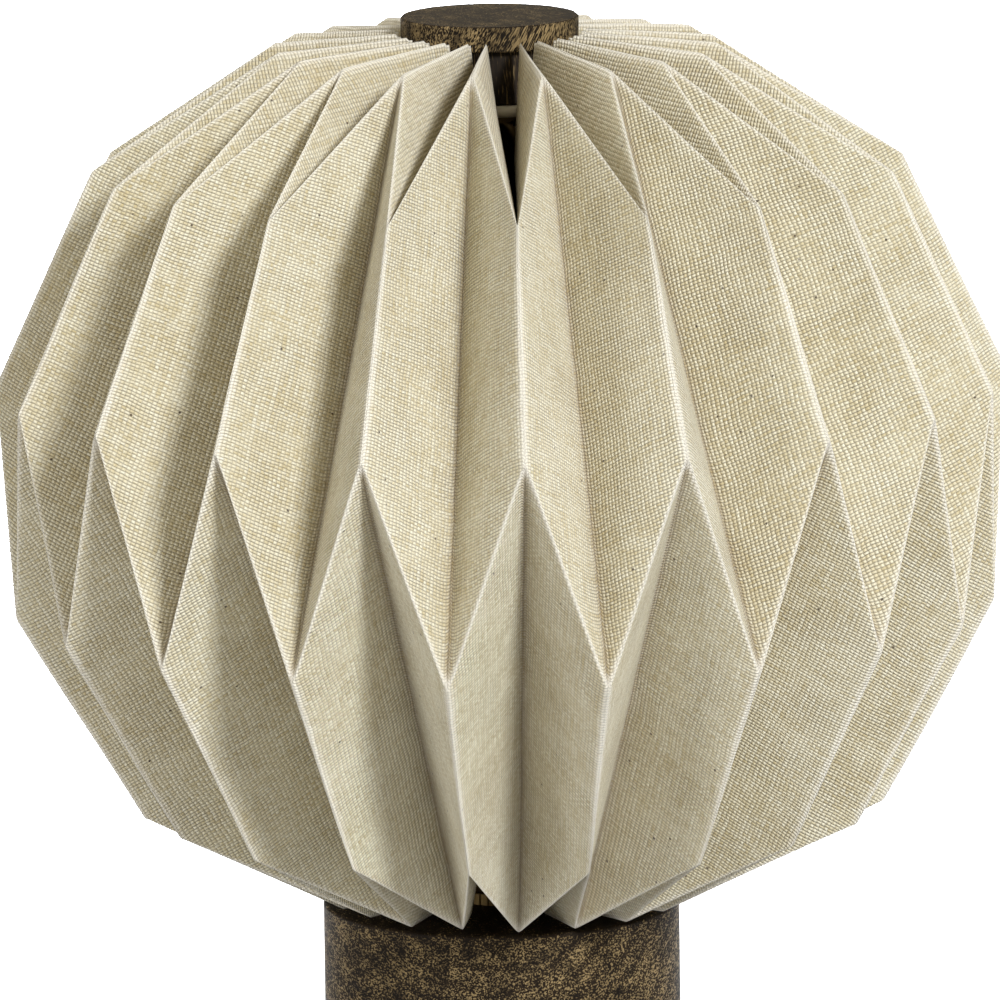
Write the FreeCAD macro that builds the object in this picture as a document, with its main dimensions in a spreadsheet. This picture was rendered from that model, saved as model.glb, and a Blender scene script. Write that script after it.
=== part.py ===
import FreeCAD, Part
import math
import os

import Sketcher

# Pleated globe table lamp: a turned wooden base, a lamp holder on a threaded rod, a wire
# harp, a folded cloth shade hung on a spider ring, and a wooden cap that screws down on it.
#
# Millimetres, +Z up. The origin is the middle of the base's underside. The seam of the
# shade is on the -Y side, a little to the right, and the cable leaves on the +Y side.

Vector = FreeCAD.Vector
os.makedirs("parts", exist_ok=True)
doc = FreeCAD.newDocument("pleated_table_lamp")


# ---------------------------------------------------------------- driving sizes

SIZES = [
    # base
    ("base_radius", 54.3),
    ("base_height", 127.0),
    ("base_edge", 0.6),
    ("felt_thickness", 1.5),
    ("felt_margin", 2.3),
    ("recess_margin", 12.3),
    ("recess_depth", 24.0),
    ("ballast_gap", 0.5),
    ("ballast_thickness", 12.0),
    # cable way at the back of the base
    ("cable_radius", 3.3),
    ("bush_wall", 1.6),
    ("bush_fit", 0.1),
    ("bush_flange", 2.2),
    ("bush_flange_thickness", 1.5),
    ("bush_flange_sunk", 1.2),
    # threaded rod and what it clamps
    ("rod_radius", 5.0),
    ("rod_bore_radius", 3.5),
    ("rod_fit", 0.25),
    ("rod_tail", 2.0),
    ("rod_in_holder", 5.5),
    ("nut_flats", 17.0),
    ("nut_height", 5.0),
    ("washer_radius", 12.0),
    ("washer_thickness", 1.6),
    ("check_ring_radius", 13.0),
    ("check_ring_height", 4.0),
    ("check_ring_groove", 0.35),
    ("stem_radius", 8.0),
    ("stem_height", 41.0),
    ("saddle_nut_height", 3.0),
    # harp, its saddle and sleeves
    ("saddle_thickness", 1.6),
    ("saddle_width", 14.0),
    ("prong_height", 7.9),
    ("harp_half_width", 25.5),
    ("harp_wire_radius", 1.6),
    ("harp_shoulder_drop", 70.0),
    ("harp_shoulder_bend", 18.0),
    ("harp_crown_bend", 7.0),
    ("harp_plate_radius", 8.0),
    ("harp_plate_thickness", 4.0),
    ("stud_radius", 3.0),
    ("stud_length", 12.0),
    ("sleeve_height", 14.0),
    ("sleeve_wall", 0.7),
    ("sleeve_rim", 0.3),
    ("sleeve_fit", 0.08),
    # lamp holder
    ("holder_radius", 17.5),
    ("holder_wall", 1.1),
    ("holder_hub_radius", 8.0),
    ("holder_hub_height", 5.0),
    ("holder_dome_height", 6.0),
    ("holder_skirt", 5.0),
    ("holder_shell_height", 36.0),
    ("holder_rim", 0.8),
    ("insulator_gap", 0.6),
    ("insulator_floor", 10.0),
    ("insulator_wall", 1.5),
    ("insulator_height", 32.0),
    ("screw_shell_wall", 0.6),
    ("screw_shell_height", 21.0),
    ("contact_width", 5.0),
    ("contact_height", 3.7),
    ("terminal_radius", 8.0),
    ("terminal_head", 2.3),
    ("terminal_shank", 1.4),
    # bulb
    ("bulb_radius", 22.5),
    ("bulb_length", 75.0),
    ("bulb_glass", 0.8),
    ("bulb_cap_radius", 13.0),
    ("bulb_cap_fit", 0.3),
    ("bulb_thread_depth", 0.8),
    ("bulb_thread_pitch", 3.6),
    ("bulb_neck_radius", 11.4),
    ("filament_circle", 6.0),
    ("filament_radius", 0.9),
    ("filament_length", 28.0),
    # cap, neck and their fastenings
    ("neck_radius", 23.5),
    ("neck_length", 16.4),
    ("cap_overhang", 3.3),
    ("cap_thickness", 7.7),
    ("cap_edge", 0.4),
    ("insert_wall", 2.0),
    ("insert_length", 10.0),
    ("insert_fit", 0.07),
    ("cap_screw_place", 14.0),
    ("cap_screw_radius", 1.6),
    ("cap_screw_head", 3.2),
    ("cap_screw_head_height", 2.2),
    ("cap_screw_sunk", 1.3),
    ("cap_screw_bite", 4.7),
    # wire rings that the cloth is glued to
    ("ring_wire_radius", 1.8),
    ("ring_step", 0.8),
    ("hub_radius", 7.5),
    ("spoke_radius", 1.3),
    ("stud_clearance", 0.4),
    ("lower_wire_radius", 1.2),
    ("lower_ring_rise", 10.0),
    ("lift_clearance", 4.3),
    ("glue_gap", 0.3),
    # folded cloth: radii of the six rings of fold corners, from the top down
    ("cloth_thickness", 0.7),
    ("crown_radius", 66.0),
    ("shoulder_radius", 121.5),
    ("belly_top_radius", 150.0),
    ("belly_bottom_radius", 146.5),
    ("skirt_radius", 112.5),
    ("foot_radius", 54.0),
    # and the heights between those rings
    ("crown_rise", 17.6),
    ("crown_to_shoulder", 37.7),
    ("shoulder_to_belly", 65.5),
    ("belly_height", 64.5),
    ("belly_to_skirt", 63.5),
    ("skirt_to_foot", 30.5),
    ("foot_clearance", 1.5),
    # rims of the cloth
    ("tip_clearance", 1.3),
    ("tip_rise", 3.2),
    ("top_rim_depth", 36.5),
    ("foot_rim_flare", 0.6),
    ("foot_rim_rise", 0.7),
    ("foot_rim_depth", 36.5),
    ("slit_half_width", 3.7),
]

PLEATS = 20
SEAM_ANGLE = 2.7
SPOKES = 3
FILAMENTS = 4
KNURL_COUNT = 30
# longest that a mitre in the cloth may grow, as a multiple of half its thickness
MITRE_LIMIT = 2.2

sheet = doc.addObject("Spreadsheet::Sheet", "sizes")
for row, (alias, number) in enumerate(SIZES, 1):
    sheet.set("A%d" % row, alias)
    sheet.set("B%d" % row, str(number))
    sheet.setAlias("B%d" % row, alias)
doc.recompute()


class Length:
    """A size, held both as a number and as the expression that an object is bound to."""

    def __init__(self, number, text):
        self.number = number
        self.text = text

    def joined(self, other, sign, number, turned=False):
        text = other.text if isinstance(other, Length) else repr(other)
        first, second = (text, self.text) if turned else (self.text, text)
        return Length(number, "(%s %s %s)" % (first, sign, second))

    def __add__(self, other):
        return self.joined(other, "+", self.number + worth(other))

    def __radd__(self, other):
        return self.joined(other, "+", worth(other) + self.number, True)

    def __sub__(self, other):
        return self.joined(other, "-", self.number - worth(other))

    def __rsub__(self, other):
        return self.joined(other, "-", worth(other) - self.number, True)

    def __mul__(self, other):
        return self.joined(other, "*", self.number * worth(other))

    def __rmul__(self, other):
        return self.joined(other, "*", worth(other) * self.number, True)

    def __truediv__(self, other):
        return self.joined(other, "/", self.number / worth(other))

    def __neg__(self):
        return self * -1


def worth(value):
    """The plain number of a Length or of a number."""
    return value.number if isinstance(value, Length) else value


class Sizes:
    """Every driving size as a Length of the same name."""


size = Sizes()
for alias, number in SIZES:
    setattr(size, alias, Length(number, "sizes." + alias))


# ---------------------------------------------------------------- heights and radii that follow

felt_top = size.felt_thickness
base_top = felt_top + size.base_height
recess_radius = size.base_radius - size.recess_margin
recess_top = felt_top + size.recess_depth
ballast_bottom = recess_top - size.ballast_thickness
rod_washer_bottom = ballast_bottom - size.washer_thickness
rod_nut_bottom = rod_washer_bottom - size.nut_height
rod_bottom = rod_nut_bottom - size.rod_tail
rod_hole = size.rod_radius + size.rod_fit
bush_radius = size.cable_radius + size.bush_wall
bush_height = (felt_top + ballast_bottom) / 2

stem_bottom = base_top + size.check_ring_height
saddle_bottom = stem_bottom + size.stem_height
saddle_top = saddle_bottom + size.saddle_thickness
holder_bottom = saddle_top + size.saddle_nut_height
rod_top = holder_bottom + size.rod_in_holder
harp_foot = saddle_top + size.prong_height

# the shade hangs from its upper ring, which sits on the harp just high enough for the
# lowest folds to clear the base
foot_level = base_top + size.foot_clearance
skirt_level = foot_level + size.skirt_to_foot
belly_bottom_level = skirt_level + size.belly_to_skirt
belly_top_level = belly_bottom_level + size.belly_height
shoulder_level = belly_top_level + size.shoulder_to_belly
crown_level = shoulder_level + size.crown_to_shoulder
ring_level = crown_level - size.crown_rise
ring_bottom = ring_level - size.ring_wire_radius
ring_top = ring_level + size.ring_wire_radius
plate_bottom = ring_bottom - size.harp_plate_thickness
cap_bottom = ring_top + size.neck_length
cap_top = cap_bottom + size.cap_thickness
cap_radius = size.neck_radius + size.cap_overhang
ring_radius = size.neck_radius + size.ring_step
lower_ring_radius = (
    size.harp_half_width + size.harp_wire_radius + size.lift_clearance + size.lower_wire_radius
)
foot_rim_level = foot_level + size.foot_rim_rise
lower_ring_level = foot_rim_level + size.lower_ring_rise
insert_radius = size.stud_radius + size.insert_fit + size.insert_wall

# lamp holder and bulb, counted up from the holder's underside
holder_dome_bottom = holder_bottom + size.holder_hub_height
holder_dome_top = holder_dome_bottom + size.holder_dome_height
holder_skirt_top = holder_dome_top + size.holder_skirt
holder_inner_radius = size.holder_radius - size.holder_wall
insulator_bottom = holder_dome_top + size.holder_wall
insulator_radius = holder_inner_radius - size.insulator_gap
insulator_seat = insulator_bottom + size.insulator_floor
screw_shell_radius = size.bulb_cap_radius + size.bulb_cap_fit
bulb_tip = insulator_seat + size.contact_height + size.bulb_cap_fit
bulb_centre = bulb_tip + size.bulb_length - size.bulb_radius

nodes = []


# ---------------------------------------------------------------- ways of making a piece


def keep(item, label):
    """Marks an object as a finished sub-part and gives it its name."""
    item.Label = label
    nodes.append(item)
    return item


def bind(item, **values):
    """Ties properties to sizes. A double underscore stands for a dot in the property."""
    for name, value in values.items():
        item.setExpression(name.replace("__", "."), value.text)


def cylinder(name, radius, low, high):
    item = doc.addObject("Part::Cylinder", name)
    bind(item, Radius=radius, Height=high - low, Placement__Base__z=low)
    return item


def cone(name, low_radius, high_radius, low, high):
    item = doc.addObject("Part::Cone", name)
    bind(item, Radius1=low_radius, Radius2=high_radius, Height=high - low)
    bind(item, Placement__Base__z=low)
    return item


def torus(name, radius, wire, level):
    item = doc.addObject("Part::Torus", name)
    bind(item, Radius1=radius, Radius2=wire, Placement__Base__z=level)
    return item


def sphere(name, radius, level):
    item = doc.addObject("Part::Sphere", name)
    bind(item, Radius=radius, Placement__Base__z=level)
    return item


def cut(name, base, tool):
    item = doc.addObject("Part::Cut", name)
    item.Base = base
    item.Tool = tool
    return item


def fuse(name, *shapes):
    item = doc.addObject("Part::MultiFuse", name)
    item.Shapes = list(shapes)
    return item


def group(name, members):
    item = doc.addObject("Part::Compound", name)
    item.Links = members
    return item


def tube(name, outer, inner, low, high):
    return cut(name, cylinder(name + "_outer", outer, low, high),
               cylinder(name + "_inner", inner, low, high))


def hexagon_nut(name, low, high):
    """A nut on the rod: its threads meet the rod's, so both have one radius."""
    blank = doc.addObject("Part::Prism", name + "_blank")
    blank.Polygon = 6
    bind(blank, Circumradius=size.nut_flats / math.sqrt(3), Height=high - low)
    bind(blank, Placement__Base__z=low)
    return cut(name, blank, cylinder(name + "_hole", size.rod_radius, low, high))


def body_called(name):
    return doc.addObject("PartDesign::Body", name)


def sketch_on(body, role, name, level=None):
    """A sketch on one of the body's own planes, lifted to a level if one is given."""
    sketch = body.newObject("Sketcher::SketchObject", name)
    plane = [each for each in body.Origin.OriginFeatures if each.Role == role][0]
    sketch.AttachmentSupport = [(plane, "")]
    sketch.MapMode = "FlatFace"
    if level is not None:
        bind(sketch, AttachmentOffset__Base__z=level)
    return sketch


def place_point(sketch, geometry, point, place):
    """Holds a point of the sketch at (x, y), each a Length or 0 for the sketch's axis."""
    for kind, axis, value in (("DistanceX", -2, place[0]), ("DistanceY", -1, place[1])):
        if isinstance(value, Length):
            rule = Sketcher.Constraint(kind, -1, 1, geometry, point, value.number)
            sketch.setExpression("Constraints[%d]" % sketch.addConstraint(rule), value.text)
        else:
            sketch.addConstraint(Sketcher.Constraint("PointOnObject", geometry, point, axis))


def hold_radius(sketch, geometry, radius):
    rule = Sketcher.Constraint("Radius", geometry, radius.number)
    sketch.setExpression("Constraints[%d]" % sketch.addConstraint(rule), radius.text)


def outline(sketch, points):
    """A closed outline of straight lines through the points."""
    spots = [Vector(worth(across), worth(up), 0) for across, up in points]
    for index, spot in enumerate(spots):
        following = spots[(index + 1) % len(spots)]
        sketch.addGeometry(Part.LineSegment(spot, following), False)
    for index in range(len(points)):
        following = (index + 1) % len(points)
        sketch.addConstraint(Sketcher.Constraint("Coincident", index, 2, following, 1))
    for index, place in enumerate(points):
        place_point(sketch, index, 1, place)


def circles(sketch, places, radius):
    for place in places:
        centre = Vector(worth(place[0]), worth(place[1]), 0)
        round_line = Part.Circle(centre, Vector(0, 0, 1), radius.number)
        geometry = sketch.addGeometry(round_line, False)
        place_point(sketch, geometry, 3, place)
        hold_radius(sketch, geometry, radius)


def turned(name, points):
    """A body turned about the Z axis from (radius, height) points."""
    body = body_called(name)
    sketch = sketch_on(body, "XZ_Plane", name + "_profile")
    outline(sketch, points)
    turn = body.newObject("PartDesign::Revolution", name + "_turn")
    turn.Profile = sketch
    turn.ReferenceAxis = (sketch, ["V_Axis"])
    turn.Angle = 360
    return body


def drilled(body, name, role, places, radius, level, depth, backwards=False):
    """Round pockets sunk from a level of one of the body's planes."""
    sketch = sketch_on(body, role, name + "_places", level)
    circles(sketch, places, radius)
    pocket = body.newObject("PartDesign::Pocket", name)
    pocket.Profile = sketch
    pocket.Type = 0
    pocket.Reversed = backwards
    bind(pocket, Length=depth)
    return pocket


# ---------------------------------------------------------------- base


def make_base_body():
    edge_radius = size.base_radius - size.base_edge
    body = turned("base_body", [
        (rod_hole, recess_top),
        (recess_radius, recess_top),
        (recess_radius, felt_top),
        (edge_radius, felt_top),
        (size.base_radius, felt_top + size.base_edge),
        (size.base_radius, base_top - size.base_edge),
        (edge_radius, base_top),
        (rod_hole, base_top),
    ])
    # the cable's way out at the back, with a flat sunk for the bush's flange
    place = [(0, bush_height)]
    drilled(body, "cable_way", "XZ_Plane", place, bush_radius + size.bush_fit,
            -size.base_radius, size.recess_margin * 1.5, True)
    flange_hole = bush_radius + size.bush_flange + size.bush_fit
    drilled(body, "bush_seat", "XZ_Plane", place, flange_hole,
            -size.base_radius, size.bush_flange_sunk, True)
    keep(body, "base_body")


def make_felt_pad():
    keep(cylinder("felt_pad", size.base_radius - size.felt_margin, 0 * size.felt_thickness,
                  felt_top), "felt_pad")


def make_ballast_disc():
    radius = recess_radius - size.ballast_gap
    keep(tube("ballast_disc", radius, rod_hole, ballast_bottom, recess_top), "ballast_disc")


def make_cable_bush():
    """A flanged bush: its profile is turned about the axis of the cable."""
    body = body_called("cable_bush")
    sketch = sketch_on(body, "XY_Plane", "cable_bush_profile")
    outer_face = size.base_radius - size.bush_flange_sunk + size.bush_flange_thickness
    seat = size.base_radius - size.bush_flange_sunk
    flange_radius = bush_radius + size.bush_flange
    outline(sketch, [
        (size.cable_radius, recess_radius),
        (bush_radius, recess_radius),
        (bush_radius, seat),
        (flange_radius, seat),
        (flange_radius, outer_face),
        (size.cable_radius, outer_face),
    ])
    turn = body.newObject("PartDesign::Revolution", "cable_bush_turn")
    turn.Profile = sketch
    turn.ReferenceAxis = (sketch, ["V_Axis"])
    turn.Angle = 360
    bind(body, Placement__Base__z=bush_height)
    keep(body, "cable_bush")


# ---------------------------------------------------------------- rod and clamped stack


def make_threaded_rod():
    keep(tube("threaded_rod", size.rod_radius, size.rod_bore_radius, rod_bottom, rod_top),
         "threaded_rod")


def make_rod_washer():
    keep(tube("rod_washer", size.washer_radius, rod_hole, rod_washer_bottom, ballast_bottom),
         "rod_washer")


def make_rod_nut():
    keep(hexagon_nut("rod_nut", rod_nut_bottom, rod_washer_bottom), "rod_nut")


def make_check_ring():
    """A knurled collar that tightens on the rod against the top of the base."""
    edge = size.base_edge
    body = turned("check_ring", [
        (size.rod_radius, base_top),
        (size.check_ring_radius, base_top),
        (size.check_ring_radius, stem_bottom - edge),
        (size.check_ring_radius - edge, stem_bottom),
        (size.rod_radius, stem_bottom),
    ])
    depth = size.check_ring_groove
    outside = size.check_ring_radius + depth
    sketch = sketch_on(body, "XY_Plane", "groove_outline", base_top)
    outline(sketch, [
        (size.check_ring_radius - depth, 0),
        (outside, depth * 2),
        (outside, -(depth * 2)),
    ])
    groove = body.newObject("PartDesign::Pocket", "groove")
    groove.Profile = sketch
    groove.Type = 0
    groove.Reversed = True
    bind(groove, Length=size.check_ring_height)
    knurl = body.newObject("PartDesign::PolarPattern", "knurl")
    knurl.Originals = [groove]
    knurl.Axis = (sketch, ["N_Axis"])
    knurl.Angle = 360
    knurl.Occurrences = KNURL_COUNT
    body.Tip = knurl
    keep(body, "check_ring")


def make_stem_tube():
    keep(tube("stem_tube", size.stem_radius, rod_hole, stem_bottom, saddle_bottom), "stem_tube")


def make_saddle_nut():
    keep(hexagon_nut("saddle_nut", saddle_top, holder_bottom), "saddle_nut")


# ---------------------------------------------------------------- harp


def make_harp_saddle():
    """A flat strip with rounded ends and a prong at each end for the harp's legs."""
    body = body_called("harp_saddle")
    strip = sketch_on(body, "XY_Plane", "strip_outline", saddle_bottom)
    half_width = size.saddle_width / 2
    reach = size.harp_half_width
    ends = [(-1, math.pi / 2, 3 * math.pi / 2), (1, -math.pi / 2, math.pi / 2)]
    for side, start, stop in ends:
        centre = Vector(side * reach.number, 0, 0)
        circle = Part.Circle(centre, Vector(0, 0, 1), end_radius().number)
        strip.addGeometry(Part.ArcOfCircle(circle, start, stop), False)
    for side in (1, -1):
        low = Vector(-reach.number, side * end_radius().number, 0)
        high = Vector(reach.number, side * end_radius().number, 0)
        strip.addGeometry(Part.LineSegment(low, high), False)
    for arc, arc_point, line, line_point in ((0, 1, 2, 1), (0, 2, 3, 1), (1, 2, 2, 2), (1, 1, 3, 2)):
        rule = Sketcher.Constraint("Tangent", arc, arc_point, line, line_point)
        strip.addConstraint(rule)
    place_point(strip, 0, 3, (-reach, 0))
    place_point(strip, 1, 3, (reach, 0))
    hold_radius(strip, 0, end_radius())
    plate = body.newObject("PartDesign::Pad", "strip")
    plate.Profile = strip
    bind(plate, Length=size.saddle_thickness)
    # the strip widens to a round eye where the rod goes through
    eye = sketch_on(body, "XY_Plane", "eye_outline", saddle_bottom)
    circles(eye, [(0, 0)], half_width + size.stem_radius / 2)
    eye_pad = body.newObject("PartDesign::Pad", "eye")
    eye_pad.Profile = eye
    bind(eye_pad, Length=size.saddle_thickness)
    posts = sketch_on(body, "XY_Plane", "prong_places", saddle_bottom)
    circles(posts, [(-reach, 0), (reach, 0)], size.harp_wire_radius)
    prongs = body.newObject("PartDesign::Pad", "prongs")
    prongs.Profile = posts
    bind(prongs, Length=size.saddle_thickness + size.prong_height)
    drilled(body, "rod_eye", "XY_Plane", [(0, 0)], rod_hole, saddle_bottom,
            size.saddle_thickness, True)
    keep(body, "harp_saddle")


def end_radius():
    """Half the width of the saddle at its ends, a little wider than a sleeve."""
    return size.harp_wire_radius + size.sleeve_fit + size.sleeve_wall + size.sleeve_rim / 2


def make_harp_wire():
    """One wire: two upright legs, two shoulders and a small round crown."""
    body = body_called("harp_wire")
    width = size.harp_half_width
    shoulder = size.harp_shoulder_bend
    crown = size.harp_crown_bend
    leg_top = plate_bottom - size.harp_shoulder_drop
    crown_centre = plate_bottom - crown
    run = worth(width - shoulder)
    rise = worth(crown_centre - leg_top)
    lean = math.atan2(rise, run) + math.acos(worth(shoulder - crown) / math.hypot(run, rise))

    def on_circle(across, up, radius, angle):
        return Vector(across + radius * math.cos(angle), up + radius * math.sin(angle), 0)

    def arc(across, up, radius, start, stop):
        circle = Part.Circle(Vector(across, up, 0), Vector(0, 0, 1), radius)
        return Part.ArcOfCircle(circle, start, stop)

    path = sketch_on(body, "XZ_Plane", "harp_path")
    left = -width.number + shoulder.number
    right = -left
    foot, top, middle = harp_foot.number, leg_top.number, crown_centre.number
    shoulder_end = on_circle(left, top, shoulder.number, lean)
    crown_start = on_circle(0, middle, crown.number, lean)
    mirrored = math.pi - lean
    pieces = [
        Part.LineSegment(Vector(-width.number, foot, 0), Vector(-width.number, top, 0)),
        arc(left, top, shoulder.number, lean, math.pi),
        Part.LineSegment(shoulder_end, crown_start),
        arc(0, middle, crown.number, mirrored, lean),
        Part.LineSegment(on_circle(0, middle, crown.number, mirrored),
                         on_circle(right, top, shoulder.number, mirrored)),
        arc(right, top, shoulder.number, 0, mirrored),
        Part.LineSegment(Vector(width.number, top, 0), Vector(width.number, foot, 0)),
    ]
    for piece in pieces:
        path.addGeometry(piece, False)
    joins = [(0, 2, 1, 2), (1, 1, 2, 1), (2, 2, 3, 2), (3, 1, 4, 1), (4, 2, 5, 2), (5, 1, 6, 1)]
    for first, first_end, second, second_end in joins:
        path.addConstraint(Sketcher.Constraint("Tangent", first, first_end, second, second_end))
    place_point(path, 0, 1, (-width, harp_foot))
    place_point(path, 6, 2, (width, harp_foot))
    place_point(path, 1, 3, (shoulder - width, leg_top))
    place_point(path, 5, 3, (width - shoulder, leg_top))
    place_point(path, 3, 3, (0, crown_centre))
    for index, radius in ((1, shoulder), (3, crown), (5, shoulder)):
        hold_radius(path, index, radius)
    section = sketch_on(body, "XY_Plane", "harp_section", harp_foot)
    circles(section, [(-width, 0)], size.harp_wire_radius)
    pipe = body.newObject("PartDesign::AdditivePipe", "harp_bend")
    pipe.Profile = section
    pipe.Spine = path
    return keep(body, "harp_wire")


def make_harp_plate(harp_wire):
    """The seat and stud on top of the harp, grooved underneath for the wire's crown."""
    blank = fuse("plate_blank",
                 cylinder("plate_disc", size.harp_plate_radius, plate_bottom, ring_bottom),
                 cylinder("plate_stud", size.stud_radius, plate_bottom,
                          ring_bottom + size.stud_length))
    keep(cut("harp_plate", blank, harp_wire), "harp_plate")


def make_sleeve(name, side):
    inner = size.harp_wire_radius + size.sleeve_fit
    outer = inner + size.sleeve_wall
    rim = size.sleeve_rim
    top = saddle_top + size.sleeve_height
    body = turned(name, [
        (inner, saddle_top),
        (outer + rim, saddle_top),
        (outer + rim, saddle_top + rim * 2),
        (outer, saddle_top + rim * 3),
        (outer, top - rim),
        (outer - rim, top),
        (inner, top),
    ])
    bind(body, Placement__Base__x=size.harp_half_width * side)
    keep(body, name)


# ---------------------------------------------------------------- lamp holder


def make_holder_cap():
    outer = size.holder_radius
    keep(turned("holder_cap", [
        (size.rod_radius, holder_bottom),
        (size.holder_hub_radius, holder_bottom),
        (size.holder_hub_radius, holder_dome_bottom),
        (outer, holder_dome_top),
        (outer, holder_skirt_top),
        (holder_inner_radius, holder_skirt_top),
        (holder_inner_radius, holder_dome_top + size.holder_wall / 2),
        (size.holder_hub_radius, holder_dome_bottom + size.holder_wall),
        (size.rod_radius, holder_dome_bottom + size.holder_wall),
    ]), "holder_cap")


def make_holder_shell():
    top = holder_skirt_top + size.holder_shell_height
    outer = size.holder_radius
    rim = size.holder_rim
    keep(turned("holder_shell", [
        (holder_inner_radius, holder_skirt_top),
        (outer, holder_skirt_top),
        (outer, top - rim * 2),
        (outer + rim, top - rim),
        (outer + rim, top),
        (holder_inner_radius, top),
    ]), "holder_shell")


def terminal_places():
    return [(size.terminal_radius, 0), (-size.terminal_radius, 0)]


def make_holder_insulator():
    hole = size.terminal_head / 2
    wall_inside = insulator_radius - size.insulator_wall
    top = insulator_bottom + size.insulator_height
    body = turned("holder_insulator", [
        (hole, insulator_bottom),
        (insulator_radius, insulator_bottom),
        (insulator_radius, top),
        (wall_inside, top),
        (wall_inside, insulator_seat),
        (hole, insulator_seat),
    ])
    drilled(body, "terminal_holes", "XY_Plane", terminal_places(),
            size.terminal_shank + size.sleeve_fit, insulator_bottom,
            size.insulator_floor / 2, True)
    keep(body, "holder_insulator")


def make_screw_shell():
    outer = screw_shell_radius + size.screw_shell_wall
    top = insulator_seat + size.screw_shell_height
    lip = size.screw_shell_wall
    keep(turned("screw_shell", [
        (screw_shell_radius, insulator_seat),
        (outer, insulator_seat),
        (outer, top - lip),
        (outer - lip / 2, top),
        (screw_shell_radius, top),
    ]), "screw_shell")


def make_centre_contact():
    """A strip on the holder's floor whose sprung tongue rises to the bulb's tip."""
    body = body_called("centre_contact")
    side = sketch_on(body, "XZ_Plane", "tongue_side")
    strip = size.screw_shell_wall
    reach = size.contact_width
    crest = insulator_seat + size.contact_height
    outline(side, [
        (-reach, insulator_seat),
        (reach, insulator_seat),
        (reach, insulator_seat + strip),
        (-(reach / 2), insulator_seat + strip),
        (reach / 2, crest - strip),
        (reach / 2, crest),
        (0, crest),
        (-reach, insulator_seat + strip),
    ])
    pad = body.newObject("PartDesign::Pad", "tongue")
    pad.Profile = side
    pad.Midplane = True
    bind(pad, Length=size.contact_width)
    keep(body, "centre_contact")


def make_terminal_screws():
    head_height = size.terminal_shank
    screws = []
    for number, (across, _) in enumerate(terminal_places()):
        name = "terminal_%d" % number
        head = cylinder(name + "_head", size.terminal_head, insulator_bottom - head_height,
                        insulator_bottom)
        shank = cylinder(name + "_shank", size.terminal_shank, insulator_bottom,
                         insulator_bottom + size.insulator_floor / 2)
        for item in (head, shank):
            bind(item, Placement__Base__x=across)
        screws.append(fuse(name, head, shank))
    keep(group("terminal_screws", screws), "terminal_screws")


# ---------------------------------------------------------------- bulb


def bulb_levels():
    """Heights of the bulb's cap, in the order tip, insulator, first thread, cap top."""
    contact_top = bulb_tip + size.bulb_cap_fit * 5
    thread_bottom = contact_top + size.bulb_thread_pitch
    thread_top = thread_bottom + size.bulb_thread_pitch * 4
    cap_end = thread_top + size.bulb_thread_pitch
    return contact_top, thread_bottom, thread_top, cap_end


def make_bulb_contact():
    contact_top = bulb_levels()[0]
    radius = size.bulb_cap_radius / 3
    keep(turned("bulb_contact", [
        (0, bulb_tip),
        (radius / 2, bulb_tip),
        (radius, (bulb_tip + contact_top) / 2),
        (radius, contact_top),
        (0, contact_top),
    ]), "bulb_contact")


def make_bulb_insulator():
    contact_top, thread_bottom, _, _ = bulb_levels()
    keep(turned("bulb_insulator", [
        (0, contact_top),
        (size.bulb_cap_radius / 3, contact_top),
        (size.bulb_cap_radius - size.bulb_thread_depth * 3, thread_bottom),
        (0, thread_bottom),
    ]), "bulb_insulator")


def make_bulb_base():
    """The screw cap, its thread drawn as four round ridges."""
    _, thread_bottom, thread_top, cap_end = bulb_levels()
    crest = size.bulb_cap_radius
    root = crest - size.bulb_thread_depth
    inside = size.bulb_neck_radius - size.bulb_glass
    points = [(inside - size.bulb_glass, thread_bottom), (root, thread_bottom)]
    level = thread_bottom
    for _ in range(4):
        points.append((root, level + size.bulb_thread_pitch * 0.2))
        points.append((crest, level + size.bulb_thread_pitch * 0.5))
        points.append((root, level + size.bulb_thread_pitch * 0.8))
        level = level + size.bulb_thread_pitch
    points.append((root, thread_top))
    points.append((size.bulb_neck_radius + size.bulb_cap_fit, cap_end))
    points.append((size.bulb_neck_radius, cap_end))
    points.append((size.bulb_neck_radius, thread_top))
    points.append((inside - size.bulb_glass, thread_top))
    keep(turned("bulb_base", points), "bulb_base")


def make_bulb_glass():
    """A round bulb: a sphere on a tapered neck, hollow to the wall's thickness."""
    _, _, thread_top, cap_end = bulb_levels()
    # the neck meets the sphere on the circle that is 45 degrees below its middle
    shoulder = size.bulb_radius * math.sin(math.pi / 4)
    meeting = bulb_centre - shoulder

    def filled(name, inset):
        neck = size.bulb_neck_radius - inset
        return fuse(name,
                    sphere(name + "_ball", size.bulb_radius - inset, bulb_centre),
                    cone(name + "_cone", neck, shoulder - inset, cap_end, meeting),
                    cylinder(name + "_neck", neck, thread_top, cap_end))

    outside = filled("glass_outside", 0)
    keep(cut("bulb_glass", outside, filled("glass_inside", size.bulb_glass)), "bulb_glass")


def filament_foot():
    return bulb_centre - size.filament_length / 2


def make_bulb_stem():
    _, _, thread_top, _ = bulb_levels()
    flange = size.filament_circle + size.filament_radius * 2
    waist = size.filament_circle / 2
    foot = filament_foot()
    keep(turned("bulb_stem", [
        (0, thread_top),
        (size.bulb_neck_radius - size.bulb_glass * 1.5, thread_top),
        (waist, thread_top + size.bulb_thread_pitch),
        (waist, foot - size.filament_radius * 3),
        (flange, foot - size.filament_radius * 2),
        (flange, foot),
        (0, foot),
    ]), "bulb_stem")


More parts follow.
